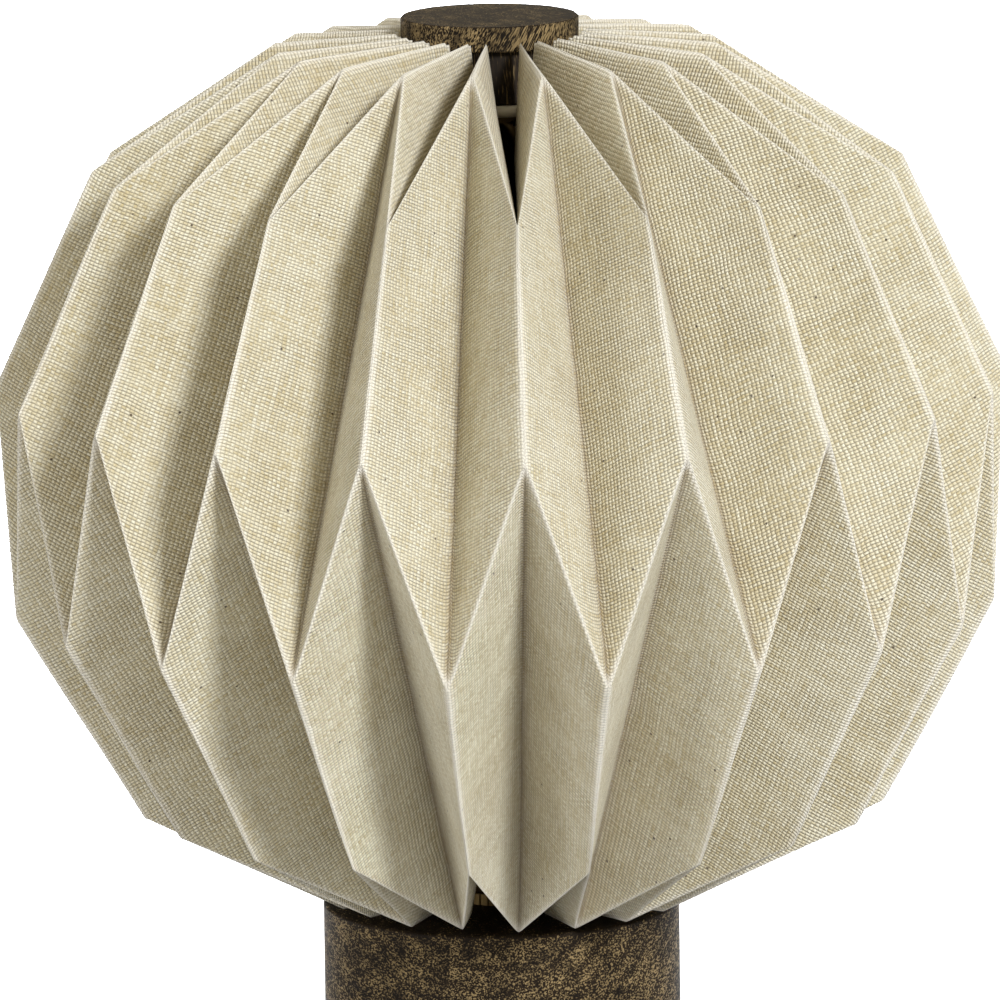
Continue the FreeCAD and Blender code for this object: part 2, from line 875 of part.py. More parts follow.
def make_bulb_filaments():
    """Upright light strips that stand in a circle on the stem, joined by a wire hoop."""
    foot = filament_foot()
    top = foot + size.filament_length
    members = []
    for index in range(FILAMENTS):
        angle = 2 * math.pi * index / FILAMENTS
        strip = cylinder("filament_%d" % index, size.filament_radius, foot, top)
        bind(strip, Placement__Base__x=size.filament_circle * math.cos(angle),
             Placement__Base__y=size.filament_circle * math.sin(angle))
        members.append(strip)
    wire = size.filament_radius / 2
    members.append(torus("filament_hoop", size.filament_circle, wire, top + wire))
    keep(group("bulb_filaments", members), "bulb_filaments")


# ---------------------------------------------------------------- rings of the shade


def make_shade_spider():
    """The upper ring with its hub and spokes, soldered into one piece."""
    ring = torus("upper_ring", ring_radius, size.ring_wire_radius, ring_level)
    hub = cylinder("hub", size.hub_radius, ring_bottom, ring_top)
    members = [ring, hub]
    for index in range(SPOKES):
        spoke = doc.addObject("Part::Cylinder", "spoke_%d" % index)
        bind(spoke, Radius=size.spoke_radius, Height=ring_radius, Placement__Base__z=ring_level)
        turn = FreeCAD.Rotation(Vector(0, 0, 1), 360 * index / SPOKES + 90)
        spoke.Placement.Rotation = turn * FreeCAD.Rotation(Vector(0, 1, 0), 90)
        members.append(spoke)
    hole = cylinder("hub_hole", size.stud_radius + size.stud_clearance, ring_bottom, ring_top)
    keep(cut("shade_spider", fuse("spider_blank", *members), hole), "shade_spider")


def make_lower_ring():
    keep(torus("shade_lower_ring", lower_ring_radius, size.lower_wire_radius, lower_ring_level),
         "shade_lower_ring")


# ---------------------------------------------------------------- folded cloth


def rim_valley_radius(mountain_radius, touch_radius, share, half_pitch):
    """Radius of a rim's valley point, so that the straight rim between it and a mountain
    point passes a wire ring at touch_radius, at the given share of the way down."""
    aside = (1 - share) * mountain_radius * math.sin(half_pitch)
    inward = (1 - share) * mountain_radius * math.cos(half_pitch)
    return (math.sqrt(touch_radius ** 2 - aside ** 2) - inward) / share


def fold_corners():
    """(radius, height) of the corners down a seam-type fold line and down its neighbour."""
    half_pitch = math.pi / PLEATS
    tip_radius = worth(cap_radius + size.tip_clearance)
    tip_level = worth(cap_bottom + size.tip_rise)
    top_depth = size.top_rim_depth.number
    top_touch = worth(ring_radius + size.ring_wire_radius + size.glue_gap)
    top_share = (tip_level - ring_level.number) / top_depth
    valley_radius = rim_valley_radius(tip_radius, top_touch, top_share, half_pitch)
    foot_touch = worth(lower_ring_radius + size.lower_wire_radius + size.glue_gap)
    foot_tip = foot_touch + size.foot_rim_flare.number
    foot_depth = size.foot_rim_depth.number
    foot_share = size.lower_ring_rise.number / foot_depth
    foot_valley = rim_valley_radius(foot_tip, foot_touch, foot_share, half_pitch)
    foot_rim = foot_rim_level.number
    seam_line = [
        (valley_radius, tip_level - top_depth),
        (size.shoulder_radius.number, shoulder_level.number),
        (size.belly_top_radius.number, belly_top_level.number),
        (size.foot_radius.number, foot_level.number),
        (foot_tip, foot_rim),
    ]
    next_line = [
        (tip_radius, tip_level),
        (size.crown_radius.number, crown_level.number),
        (size.belly_bottom_radius.number, belly_bottom_level.number),
        (size.skirt_radius.number, skirt_level.number),
        (foot_valley, foot_rim + foot_depth),
    ]
    return seam_line, next_line


def fold_grid():
    """Columns of fold corners round the shade. The first and last column are the seam,
    which is open between the top rim and the shoulder."""
    lines = fold_corners()
    slit = size.slit_half_width.number
    grid = []
    for column in range(2 * PLEATS + 1):
        angle = math.radians(SEAM_ANGLE) + math.pi * column / PLEATS
        points = [Vector(radius * math.sin(angle), -radius * math.cos(angle), level)
                  for radius, level in lines[column % 2]]
        grid.append(points)
    along = Vector(math.cos(math.radians(SEAM_ANGLE)), math.sin(math.radians(SEAM_ANGLE)), 0)
    grid[0][0] = grid[0][0] + along * slit
    grid[-1][0] = grid[-1][0] - along * slit
    return grid


def corner_normals(grid):
    """For each corner, the outward normals of the panels that meet there."""
    last = len(grid) - 1
    normals = [[[] for _ in points] for points in grid]
    for column in range(last):
        near, far = grid[column], grid[column + 1]
        for row in range(len(near) - 1):
            panel = [(column, row), (column, row + 1), (column + 1, row + 1), (column + 1, row)]
            places = [near[row], near[row + 1], far[row + 1], far[row]]
            for index, (at_column, at_row) in enumerate(panel):
                ahead = places[(index + 1) % 4] - places[index]
                behind = places[index - 1] - places[index]
                normals[at_column][at_row].append(ahead.cross(behind).normalize())
    for row in range(1, len(grid[0])):
        shared = normals[0][row] + normals[last][row]
        normals[0][row] = shared
        normals[last][row] = shared
    return normals


def mitre(directions):
    """The step from a corner to its offset corner, for an offset of one on each panel:
    the panels' mean normal, lengthened as a mitre is, up to MITRE_LIMIT."""
    total = Vector(0, 0, 0)
    for direction in directions:
        total = total + direction
    mean = total.normalize()
    reach = sum(mean.dot(direction) for direction in directions) / len(directions)
    return mean * min(MITRE_LIMIT, 1 / max(reach, 0.05))


def triangle(first, second, third):
    return Part.Face(Part.makePolygon([first, second, third, first]))


def strip_faces(first, second, third, fourth):
    """The two triangles of a narrow strip along an edge of the cloth."""
    return [triangle(first, second, third), triangle(first, third, fourth)]


def panel_faces(corners):
    """A panel is a little twisted, so it is four triangles about its middle."""
    middle = (corners[0] + corners[1] + corners[2] + corners[3]) * 0.25
    return [triangle(corners[index - 1], corners[index], middle) for index in range(4)]


def cloth_solid():
    grid = fold_grid()
    normals = corner_normals(grid)
    half = size.cloth_thickness.number / 2
    outer, inner = [], []
    for points, around in zip(grid, normals):
        steps = [mitre(directions) * half for directions in around]
        outer.append([point + step for point, step in zip(points, steps)])
        inner.append([point - step for point, step in zip(points, steps)])
    last = len(grid) - 1
    rows = len(grid[0]) - 1
    faces = []
    for column in range(last):
        for skin in (outer, inner):
            near, far = skin[column], skin[column + 1]
            for row in range(rows):
                faces += panel_faces([near[row], near[row + 1], far[row + 1], far[row]])
        for row in (0, rows):
            faces += strip_faces(outer[column][row], outer[column + 1][row],
                                 inner[column + 1][row], inner[column][row])
    for column in (0, last):
        faces += strip_faces(outer[column][0], outer[column][1],
                             inner[column][1], inner[column][0])
    shell = Part.makeShell(faces)
    shell.sewShape()
    solid = Part.makeSolid(shell)
    if solid.Volume < 0:
        solid.reverse()
    return solid


def make_shade_fabric():
    item = doc.addObject("Part::Feature", "shade_fabric")
    item.Shape = cloth_solid()
    item.Placement = FreeCAD.Placement()
    keep(item, "shade_fabric")


# ---------------------------------------------------------------- cap


def cap_screw_places():
    return [(size.cap_screw_place, 0), (-size.cap_screw_place, 0)]


def make_cap_disc():
    edge = size.cap_edge
    body = turned("cap_disc", [
        (0, cap_bottom),
        (cap_radius - edge, cap_bottom),
        (cap_radius, cap_bottom + edge),
        (cap_radius, cap_top - edge),
        (cap_radius - edge, cap_top),
        (0, cap_top),
    ])
    drilled(body, "pilot_holes", "XY_Plane", cap_screw_places(), size.cap_screw_radius,
            cap_bottom, size.cap_screw_bite, True)
    keep(body, "cap_disc")


def make_cap_neck():
    edge = size.cap_edge
    hole_top = ring_top + size.insert_length + edge
    body = turned("cap_neck", [
        (0, hole_top),
        (insert_radius, hole_top),
        (insert_radius, ring_top),
        (size.neck_radius - edge, ring_top),
        (size.neck_radius, ring_top + edge),
        (size.neck_radius, cap_bottom),
        (0, cap_bottom),
    ])
    drilled(body, "screw_holes", "XY_Plane", cap_screw_places(),
            size.cap_screw_radius + size.sleeve_fit, ring_top, size.neck_length, True)
    drilled(body, "head_holes", "XY_Plane", cap_screw_places(),
            size.cap_screw_head + size.glue_gap, ring_top,
            size.cap_screw_sunk + size.cap_screw_head_height, True)
    keep(body, "cap_neck")


def make_neck_insert():
    bore = size.stud_radius + size.insert_fit
    keep(tube("neck_insert", insert_radius, bore, ring_top, ring_top + size.insert_length),
         "neck_insert")


def make_cap_screws():
    head_bottom = ring_top + size.cap_screw_sunk
    head_top = head_bottom + size.cap_screw_head_height
    screws = []
    for number, (across, _) in enumerate(cap_screw_places()):
        name = "cap_screw_%d" % number
        head = cylinder(name + "_head", size.cap_screw_head, head_bottom, head_top)
        shank = cylinder(name + "_shank", size.cap_screw_radius, head_top,
                         cap_bottom + size.cap_screw_bite)
        for item in (head, shank):
            bind(item, Placement__Base__x=across)
        screws.append(fuse(name, head, shank))
    keep(group("cap_screws", screws), "cap_screws")


# ---------------------------------------------------------------- the lamp


def make_lamp():
    make_base_body()
    make_felt_pad()
    make_ballast_disc()
    make_cable_bush()
    make_threaded_rod()
    make_rod_washer()
    make_rod_nut()
    make_check_ring()
    make_stem_tube()
    make_saddle_nut()
    make_harp_saddle()
    make_harp_plate(make_harp_wire())
    make_sleeve("sleeve_left", -1)
    make_sleeve("sleeve_right", 1)
    make_holder_cap()
    make_holder_shell()
    make_holder_insulator()
    make_screw_shell()
    make_centre_contact()
    make_terminal_screws()
    make_bulb_contact()
    make_bulb_insulator()
    make_bulb_base()
    make_bulb_glass()
    make_bulb_stem()
    make_bulb_filaments()
    make_shade_spider()
    make_lower_ring()
    make_shade_fabric()
    make_cap_disc()
    make_cap_neck()
    make_neck_insert()
    make_cap_screws()


def check_document():
    """Stops if any object failed or any sub-part is not a sound solid."""
    for item in doc.Objects:
        if "Invalid" in item.State or "Error" in item.State:
            raise RuntimeError("%s failed: %s" % (item.Label, item.State))
    for item in nodes:
        shape = item.Shape
        if shape.isNull() or not shape.isValid() or not shape.Solids:
            raise RuntimeError("%s is not a sound solid" % item.Label)


def report():
    for item in nodes:
        shape = item.Shape
        box = shape.BoundBox
        print("%-18s solids %d  volume %10.1f  z %7.2f to %7.2f"
              % (item.Label, len(shape.Solids), shape.Volume, box.ZMin, box.ZMax))


def write_steps():
    for item in nodes:
        item.Shape.exportStep(os.path.join("parts", item.Label + ".step"))


make_lamp()
doc.recompute()
check_document()
report()
write_steps()
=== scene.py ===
import math
import random

import bpy
import numpy as np
from bpy.props import FloatProperty, FloatVectorProperty, IntProperty, PointerProperty
from mathutils import Matrix, Vector, noise


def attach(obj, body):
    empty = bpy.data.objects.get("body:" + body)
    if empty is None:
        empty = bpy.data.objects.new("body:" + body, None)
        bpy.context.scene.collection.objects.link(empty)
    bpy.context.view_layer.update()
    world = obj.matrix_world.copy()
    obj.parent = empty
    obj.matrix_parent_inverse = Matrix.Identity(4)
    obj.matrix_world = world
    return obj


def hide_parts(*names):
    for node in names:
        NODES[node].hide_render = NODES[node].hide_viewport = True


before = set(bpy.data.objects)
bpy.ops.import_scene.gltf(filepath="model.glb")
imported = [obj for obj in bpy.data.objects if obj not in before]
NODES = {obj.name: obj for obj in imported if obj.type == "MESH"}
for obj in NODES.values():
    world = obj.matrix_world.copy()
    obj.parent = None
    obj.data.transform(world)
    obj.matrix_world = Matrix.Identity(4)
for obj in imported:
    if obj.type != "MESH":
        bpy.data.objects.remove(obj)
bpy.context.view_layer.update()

bl_info = {
    "name": "Pleated Globe Lamp",
    "version": (1, 0, 0),
    "blender": (4, 5, 0),
    "location": "View3D > Sidebar > Lamp",
    "description": "Dresses a table lamp: folded linen shade, dark wood base and cap, brass stand",
    "category": "Object",
}

MM = 0.001


# ---------------------------------------------------------------- sizes and colours


def length(name, description, default):
    return FloatProperty(name=name, description=description, default=default, min=0, unit="LENGTH")


def colour(name, description, default):
    return FloatVectorProperty(
        name=name, description=description, default=default, size=3, min=0, max=1, subtype="COLOR"
    )


def angle(name, description, degrees):
    return FloatProperty(
        name=name, description=description, default=math.radians(degrees), unit="ROTATION"
    )


def amount(name, description, default, top=1.0):
    return FloatProperty(name=name, description=description, default=default, min=0, max=top)


class ClothSettings(bpy.types.PropertyGroup):
    """The folded linen shade."""

    pleats: IntProperty(name="Pleats", description="Pleats round the shade", default=20, min=6)
    seam_angle: angle("Seam angle", "How far the seam is turned from the front", 2.7)
    pleat_side: length("Pleat side", "Flat width of one side of a pleat", 0.0372)
    top_margin: length("Top margin", "Flat length from the upper rim to the first fold", 0.0384)
    fold_rise: length("Fold rise", "Flat rise of a zigzag fold over one side", 0.0570)
    fold_gap: length("Fold gap", "Flat length between two zigzag folds", 0.0717)
    foot_margin: length("Foot margin", "Flat length from the last fold to the lower rim", 0.0188)
    tip_radius: length("Tip radius", "Radius of the upper rim's tips", 0.0281)
    tip_level: length("Tip level", "Height of the upper rim's tips", 0.3955)
    neck_radius: length("Neck radius", "Radius of the upper rim's valleys", 0.02534)
    neck_level: length("Neck level", "Height of the upper rim's valleys", 0.3590)
    crown_radius: length("Crown radius", "Radius of the first fold's upper corners", 0.0660)
    crown_level: length("Crown level", "Height of the first fold's upper corners", 0.3917)
    shoulder_radius: length("Shoulder radius", "Radius of the first fold's lower corners", 0.1229)
    shoulder_level: length("Shoulder level", "Height of the first fold's lower corners", 0.3540)
    belly_top_radius: length("Belly top radius", "Radius of the belly fold's top", 0.1524)
    belly_top_level: length("Belly top level", "Height of the belly fold's top", 0.2912)
    belly_foot_radius: length("Belly foot radius", "Radius of the belly fold's foot", 0.1492)
    belly_foot_level: length("Belly foot level", "Height of the belly fold's foot", 0.2216)
    skirt_radius: length("Skirt radius", "Radius of the last fold's upper corners", 0.1140)
    skirt_level: length("Skirt level", "Height of the last fold's upper corners", 0.1605)
    foot_radius: length("Foot radius", "Radius of the last fold's lower corners", 0.0528)
    foot_level: length("Foot level", "Height of the last fold's lower corners", 0.1300)
    hem_radius: length("Hem radius", "Radius of the lower rim's tips", 0.0347)
    hem_level: length("Hem level", "Height of the lower rim's tips", 0.1307)
    hem_valley_radius: length("Hem valley radius", "Radius of the lower rim's valleys", 0.03281)
    hem_valley_level: length("Hem valley level", "Height of the lower rim's valleys", 0.1672)
    slit_right: length("Slit's right side", "From the seam to the slit's right edge at the neck", 0.0036)
    slit_left: length("Slit's left side", "From the seam to the slit's left edge at the neck", 0.0003)
    slit_spread: length("Slit spread", "How far the tips beside the slit are drawn apart", 0.0017)
    rim_turn: angle("Rim turn", "How far the upper rim is twisted round the neck", 6.4)
    crowding: angle("Crowding", "How far the upper rim's pleats crowd to the front", 14)
    drift: length("Drift", "How far the cloth hangs to the right of the stand", 0.0018)
    foot_drift: length("Foot drift", "How much further right the lowest folds hang", 0.0014)
    thickness: length("Thickness", "Thickness of the cloth with its lining", 0.0009)
    mesh_step: length("Mesh step", "Spacing of the mesh in the open cloth", 0.0075)
    bow: length("Bow", "How far a panel bows out at its middle", 0.0022)
    soften_rounds: IntProperty(name="Softness", description="Rounds of softening of the folds",
                               default=9, min=0)
    free_rounds: IntProperty(name="Free rounds", default=5, min=0,
                             description="Rounds of softening before the outward folds are held")
    blunting: IntProperty(name="Blunting", description="Rounds of blunting of the rims' tips",
                          default=5, min=0)
    waver: length("Waver", "How far the folds wander from straight", 0.0005)
    weft_pitch: length("Weft pitch", "Spacing of the threads that run round", 0.00100)
    warp_pitch: length("Warp pitch", "Spacing of the threads that run up", 0.00132)
    pale: colour("Pale thread", "Lightest thread", (0.97, 0.92, 0.735))
    tan: colour("Tan thread", "Darkest thread", (0.59, 0.485, 0.26))
    worn: colour("Worn fold", "Cloth on the worn folds and cut edges", (0.95, 0.91, 0.83))
    fleck: colour("Fleck", "Dark husk flecks in the thread", (0.055, 0.030, 0.016))
    husk: colour("Husk", "Fainter husk in the thread", (0.30, 0.20, 0.10))
    gap: colour("Gap", "Shadow in the gaps between the threads", (0.10, 0.065, 0.03))
    # painted shade: the colour that the folds' hollows and the crown are darkened towards
    darkening: colour("Shading", "Dust in the valleys and on the crown", (0.25, 0.155, 0.06))


class WoodSettings(bpy.types.PropertyGroup):
    """The base, cap and neck."""

    dark: colour("Dark wood", "Pores and late wood", (0.008, 0.0055, 0.0035))
    middle: colour("Middle wood", "Body of the wood", (0.030, 0.019, 0.010))
    gold: colour("Golden wood", "Pale streaks", (0.32, 0.228, 0.108))
    polish: amount("Roughness", "Roughness of the oiled surface", 0.48)
    ring_rate: amount("Ring rate", "Turns of the growth rings per metre", 900.0, 5000)


class MetalSettings(bpy.types.PropertyGroup):
    """The stand, holder and fastenings."""

    brass: colour("Brass", "Aged brass", (0.25, 0.165, 0.066))
    steel: colour("Steel", "Zinc plated steel", (0.55, 0.55, 0.56))
    nickel: colour("Nickel", "Nickel plated shell", (0.66, 0.63, 0.58))
    lacquer: colour("Lacquer", "Cream lacquer of the rings", (0.78, 0.73, 0.62))


class StageSettings(bpy.types.PropertyGroup):
    """The studio and camera."""

    distance: length("Distance", "From the camera to the point looked at", 3.225)
    look_level: length("Look level", "Height of the point looked at", 0.2517)
    look_aside: length("Look aside", "How far right of the axis that point lies", 0.0012)
    focal: FloatProperty(name="Focal length", description="Of a 36 mm sensor", default=382.8)
    look_down: angle("Look down", "How far the camera looks down", 10.458)
    roll: angle("Roll", "How far the camera leans", 0.778)
    key: amount("Key light", "Power of the light at the front right", 78.0, 1000)
    side: amount("Side light", "Power of the weaker light at the front left", 19.0, 1000)
    backdrop: amount("Backdrop light", "Power of the light over the floor behind", 165.0, 1000)
    key_tint: colour("Key tint", "Colour of the key light", (0.93, 0.96, 1.0))
    fill: amount("Sky", "Strength of the even light all round", 0.395, 10)
    fill_tint: colour("Sky tint", "Colour of the even light", (1.0, 0.905, 0.69))
    floor: colour("Floor", "Colour of the floor", (0.57, 0.58, 0.61))


# ---------------------------------------------------------------- shader arithmetic


class Signal:
    """A socket of a material. Arithmetic on it adds the nodes that do the sum."""

    def __init__(self, finish, socket):
        self.finish = finish
        self.socket = socket

    def maths(self, operation, *others):
        values = (self,) + others
        if any(isinstance(each, Signal) and each.socket.type == "VECTOR" for each in values):
            return self.finish.node(
                "ShaderNodeVectorMath", {"operation": operation}, dict(enumerate(values))
            )
        return self.finish.node("ShaderNodeMath", {"operation": operation}, dict(enumerate(values)))

    def __add__(self, other):
        return self.maths("ADD", other)

    def __sub__(self, other):
        return self.maths("SUBTRACT", other)

    def __mul__(self, other):
        return self.maths("MULTIPLY", other)

    def __truediv__(self, other):
        return self.maths("DIVIDE", other)

    def __pow__(self, other):
        return self.maths("POWER", other)

    def __rsub__(self, other):
        return self.finish.node(
            "ShaderNodeMath", {"operation": "SUBTRACT"}, {0: other, 1: self}
        )

    __radd__ = __add__
    __rmul__ = __mul__

    def ramp(self, low, high, start=0.0, end=1.0):
        """Eases from start to end as this goes from low to high."""
        return self.finish.node(
            "ShaderNodeMapRange",
            {"interpolation_type": "SMOOTHSTEP"},
            {"Value": self, "From Min": low, "From Max": high, "To Min": start, "To Max": end},
        )


class Finish:
    """A material being put together around one Principled shader."""

    def __init__(self, name):
        self.material = bpy.data.materials.new(name)
        self.material.use_nodes = True
        self.tree = self.material.node_tree
        self.tree.nodes.clear()

    def node(self, kind, settings=None, inputs=None, output=0):
        made = self.tree.nodes.new(kind)
        for name, value in (settings or {}).items():
            setattr(made, name, value)
        for name, value in (inputs or {}).items():
            self.feed(made.inputs[name], value)
        return Signal(self, made.outputs[output])

    def feed(self, socket, value):
        if isinstance(value, Signal):
            self.tree.links.new(value.socket, socket)
        elif socket.type == "RGBA" and len(value) == 3:
            socket.default_value = (*value, 1)
        else:
            socket.default_value = value

    def mix(self, first, second, share):
        return self.node(
            "ShaderNodeMix", {"data_type": "RGBA"}, {0: share, 6: first, 7: second}, output=2
        )

    def place(self, stretch=(1, 1, 1), turn=(0, 0, 0)):
        """Where the point lies on the lamp, in metres, turned and then stretched."""
        here = self.node("ShaderNodeTexCoord", output="Object")
        if any(turn):
            here = self.node("ShaderNodeVectorRotate", {"rotation_type": "EULER_XYZ"},
                             {"Vector": here, "Rotation": turn})
        return self.node("ShaderNodeVectorMath", {"operation": "MULTIPLY"}, {0: here, 1: stretch})

    def noise(self, where, scale=1.0, detail=2.0, roughness=0.5, warp=0.0):
        return self.node(
            "ShaderNodeTexNoise",
            {},
            {"Vector": where, "Scale": scale, "Detail": detail, "Roughness": roughness,
             "Distortion": warp},
        )

    def bump(self, height, distance, strength=1.0):
        return self.node(
            "ShaderNodeBump", {}, {"Height": height, "Distance": distance, "Strength": strength}
        )

    def surface(self, **inputs):
        """Ends the material with a Principled shader, its sockets named in plain words."""
        named = {name.replace("_", " ").title().replace("Ior", "IOR"): value
                 for name, value in inputs.items()}
        shader = self.node("ShaderNodeBsdfPrincipled", {}, named)
        end = self.tree.nodes.new("ShaderNodeOutputMaterial")
        self.tree.links.new(shader.socket, end.inputs["Surface"])
        return self.material


# ---------------------------------------------------------------- the cloth's finish


def linen(cloth):
    """Plain weave drawn thread by thread from the cloth's flat coordinates, in millimetres."""
    finish = Finish("linen")
    flat = finish.node("ShaderNodeAttribute", {"attribute_name": "flat"}, output="Vector")
    ridge = finish.node("ShaderNodeAttribute", {"attribute_name": "ridge"}, output="Fac")
    valley = finish.node("ShaderNodeAttribute", {"attribute_name": "valley"}, output="Fac")
    cut = finish.node("ShaderNodeAttribute", {"attribute_name": "cut"}, output="Fac")
    split = finish.tree.nodes.new("ShaderNodeSeparateXYZ")
    finish.tree.links.new(flat.socket, split.inputs[0])
    across, down = (Signal(finish, split.outputs[index]) for index in range(2))

    def spot(x, y):
        return finish.node("ShaderNodeCombineXYZ", {}, {"X": x, "Y": y})

    # the threads wander a little and differ in thickness
    wander = finish.noise(spot(across * 0.035, down * 0.05), 1.0, 3.0)
    waver = finish.noise(spot(across * 0.05 + 40, down * 0.028), 1.0, 3.0)
    warp = (across + (wander - 0.5) * 2.6) / (cloth.warp_pitch / MM)
    weft = (down + (waver - 0.5) * 2.2) / (cloth.weft_pitch / MM)
    column = warp.maths("FLOOR")
    row = weft.maths("FLOOR")
    odd_column = 1 - 2 * column.maths("FLOORED_MODULO", 2.0)
    odd_row = 1 - 2 * row.maths("FLOORED_MODULO", 2.0)
    weft_body = (weft * math.pi).maths("SINE").maths("ABSOLUTE")
    warp_body = (warp * math.pi).maths("SINE").maths("ABSOLUTE")
    weft_thread = finish.noise(spot(across * 0.09, row * 7.3), 1.0, 2.0)
    warp_thread = finish.noise(spot(column * 5.7, down * 0.08), 1.0, 2.0)
    weft_over = 0.55 + 0.45 * odd_row * ((warp - 0.5) * math.pi).maths("COSINE")
    warp_over = 0.55 - 0.45 * odd_column * ((weft - 0.5) * math.pi).maths("COSINE")
    weft_height = weft_body ** 0.7 * weft_over * (0.55 + weft_thread * 0.9)
    warp_height = warp_body ** 0.7 * warp_over * (0.45 + warp_thread * 0.9)
    height = weft_height.maths("MAXIMUM", warp_height)
    weft_shows = (weft_height - warp_height).ramp(-0.08, 0.08)

    # each thread has its own shade, and slubs along it
    slub = finish.noise(spot(across * 0.22, weft), 1.0, 4.0, 0.65)
    weft_shade = (weft_thread * 0.65 + slub * 0.6).ramp(0.32, 0.95)
    warp_shade = finish.noise(spot(warp, down * 0.2), 1.0, 4.0, 0.65)
    warp_shade = (warp_thread * 0.65 + warp_shade * 0.6).ramp(0.30, 0.95)
    shade = warp_shade + (weft_shade - warp_shade) * weft_shows
    cloudy = finish.noise(spot(across * 0.018, down * 0.018), 1.0, 3.0)
    base = finish.mix(cloth.tan, cloth.pale, (shade * 0.8 + cloudy * 0.5 - 0.08).ramp(0.0, 1.0))
    weft_line = weft_body.ramp(0.08, 0.64, 0.04, 1.0)
    warp_line = warp_body.ramp(0.05, 0.56, 0.46, 1.0)
    patchy = finish.noise(spot(across * 0.06, down * 0.06 + 20), 1.0, 2.0).ramp(0.3, 0.7, 0.60, 1.0)
    open_weave = (1 - weft_line * warp_line) * patchy
    base = finish.mix(base, finish.mix(cloth.gap, base, 0.30), open_weave)

    # husk flecks: a few dark, more of them faint
    cells = {"Vector": spot(across * 0.150, down * 0.165), "Scale": 1.0, "Randomness": 1.0}
    grain = finish.noise(spot(across * 2.0, down * 2.4), 1.0, 2.0)
    big = finish.node("ShaderNodeTexVoronoi", {}, cells, output="Distance")
    pick = finish.node("ShaderNodeTexVoronoi", {}, cells, output="Color")
    chosen = finish.node("ShaderNodeSeparateColor", {}, {"Color": pick}, output="Red")
    dark = (big + (grain - 0.5) * 0.05).ramp(0.040, 0.080, 1.0, 0.0) * chosen.ramp(0.15, 0.60)
    small = finish.noise(spot(across * 0.9, down * 1.1 + 90), 1.0, 2.0, 0.7)
    faint = small.ramp(0.68, 0.78) * 0.5
    base = finish.mix(base, cloth.husk, faint)
    base = finish.mix(base, cloth.fleck, dark * 0.9)

    # painted shade darkens the valleys and the crown; worn folds and cut edges are paler and fuzzier
    rub = finish.noise(spot(across * 0.5, down * 0.5), 1.0, 4.0, 0.7)
    darkening = (valley * (0.7 + rub * 0.6)).ramp(0.0, 1.0) * 0.74
    darkening = darkening.maths("MAXIMUM", down.ramp(15, 80, 0.24, 0.0) * (0.6 + cloudy * 0.8))
    base = finish.mix(base, finish.mix(cloth.darkening, base, 0.25), darkening)
    ticks = ((warp + weft) * 0.5).maths("FRACT").ramp(0.2, 0.8, 0.65, 1.0)
    worn = (ridge * (0.35 + rub * 0.75 + height * 0.45)).ramp(0.18, 0.62) * (0.36 + ticks * 0.30)
    worn = worn.maths("MAXIMUM", (cut * (0.6 + rub * 0.6)).ramp(0.45, 1.0) * ticks * 0.9)
    base = finish.mix(base, cloth.worn, worn)
    relief = height * (1 - worn * 0.35) + rub * 0.15
    return finish.surface(
        base_color=base,
        roughness=0.92,
        specular_ior_level=0.15,
        sheen_weight=0.25,
        sheen_roughness=0.6,
        normal=finish.bump(relief, 0.00065, 1.0),
    )


# ---------------------------------------------------------------- other finishes


def wood(settings, name, turn, fibre, share, heart, shine, top):
    """Coarse open-pored wood. turn lays its grain along the finish's own Z axis, fibre is
    how fast it changes across and along the grain per metre, share shifts how much of it
    is golden, heart is where the rings are centred, and the face above top gets painted shade."""
    finish = Finish(name)
    across, along = fibre
    here = finish.place()
    side = finish.node("ShaderNodeSeparateXYZ", {}, {0: here}, output="X")
    level = finish.node("ShaderNodeSeparateXYZ", {}, {0: here}, output="Z")
    body = finish.place(turn=turn)
    flecks = finish.noise(finish.place((across, across, along), turn), 1.0, 1.5, 0.5, 0.4)
    streaks = finish.noise(finish.place((across, across, along * 0.3), turn), 1.0, 2.0, 0.5, 0.3)
    fine = flecks + (streaks - flecks) * side.ramp(0.012, 0.040)
    clouds = finish.noise(body, 38.0, 2.0, 0.5, 0.5)
    patches = finish.noise(finish.place((150, 150, 60), turn), 1.0, 3.0, 0.6, 0.8)
    offset = finish.node("ShaderNodeVectorMath", {"operation": "SUBTRACT"}, {0: body, 1: heart})
    flat = finish.node("ShaderNodeVectorMath", {"operation": "MULTIPLY"}, {0: offset, 1: (1, 1, 0)})
    reach = finish.node("ShaderNodeVectorMath", {"operation": "LENGTH"}, {0: flat}, output="Value")
    rings = ((reach + clouds * 0.014) * settings.ring_rate).maths("SINE")
    # painted shade: above the level top the face is darker and less golden
    painted_top_shade = level.ramp(top, top + 0.0006)
    gold = fine + (patches - 0.5) * 0.10 + (clouds - 0.5) * 0.06 - rings.ramp(0.0, 1.0) * 0.05
    gold = (gold + share - painted_top_shade * 0.10).ramp(0.46, 0.57)
    tone = finish.mix(settings.dark, settings.middle, (patches * 0.5 + fine * 0.7).ramp(0.4, 0.8))
    bright = finish.mix(settings.middle, settings.gold, (patches + streaks * 0.5).ramp(0.45, 0.95))
    return finish.surface(
        base_color=finish.mix(tone, bright, gold),
        roughness=(1 - gold) * 0.12 + settings.polish,
        specular_ior_level=shine,
        normal=finish.bump(gold + patches * 0.5, 0.00014, 0.6),
    )


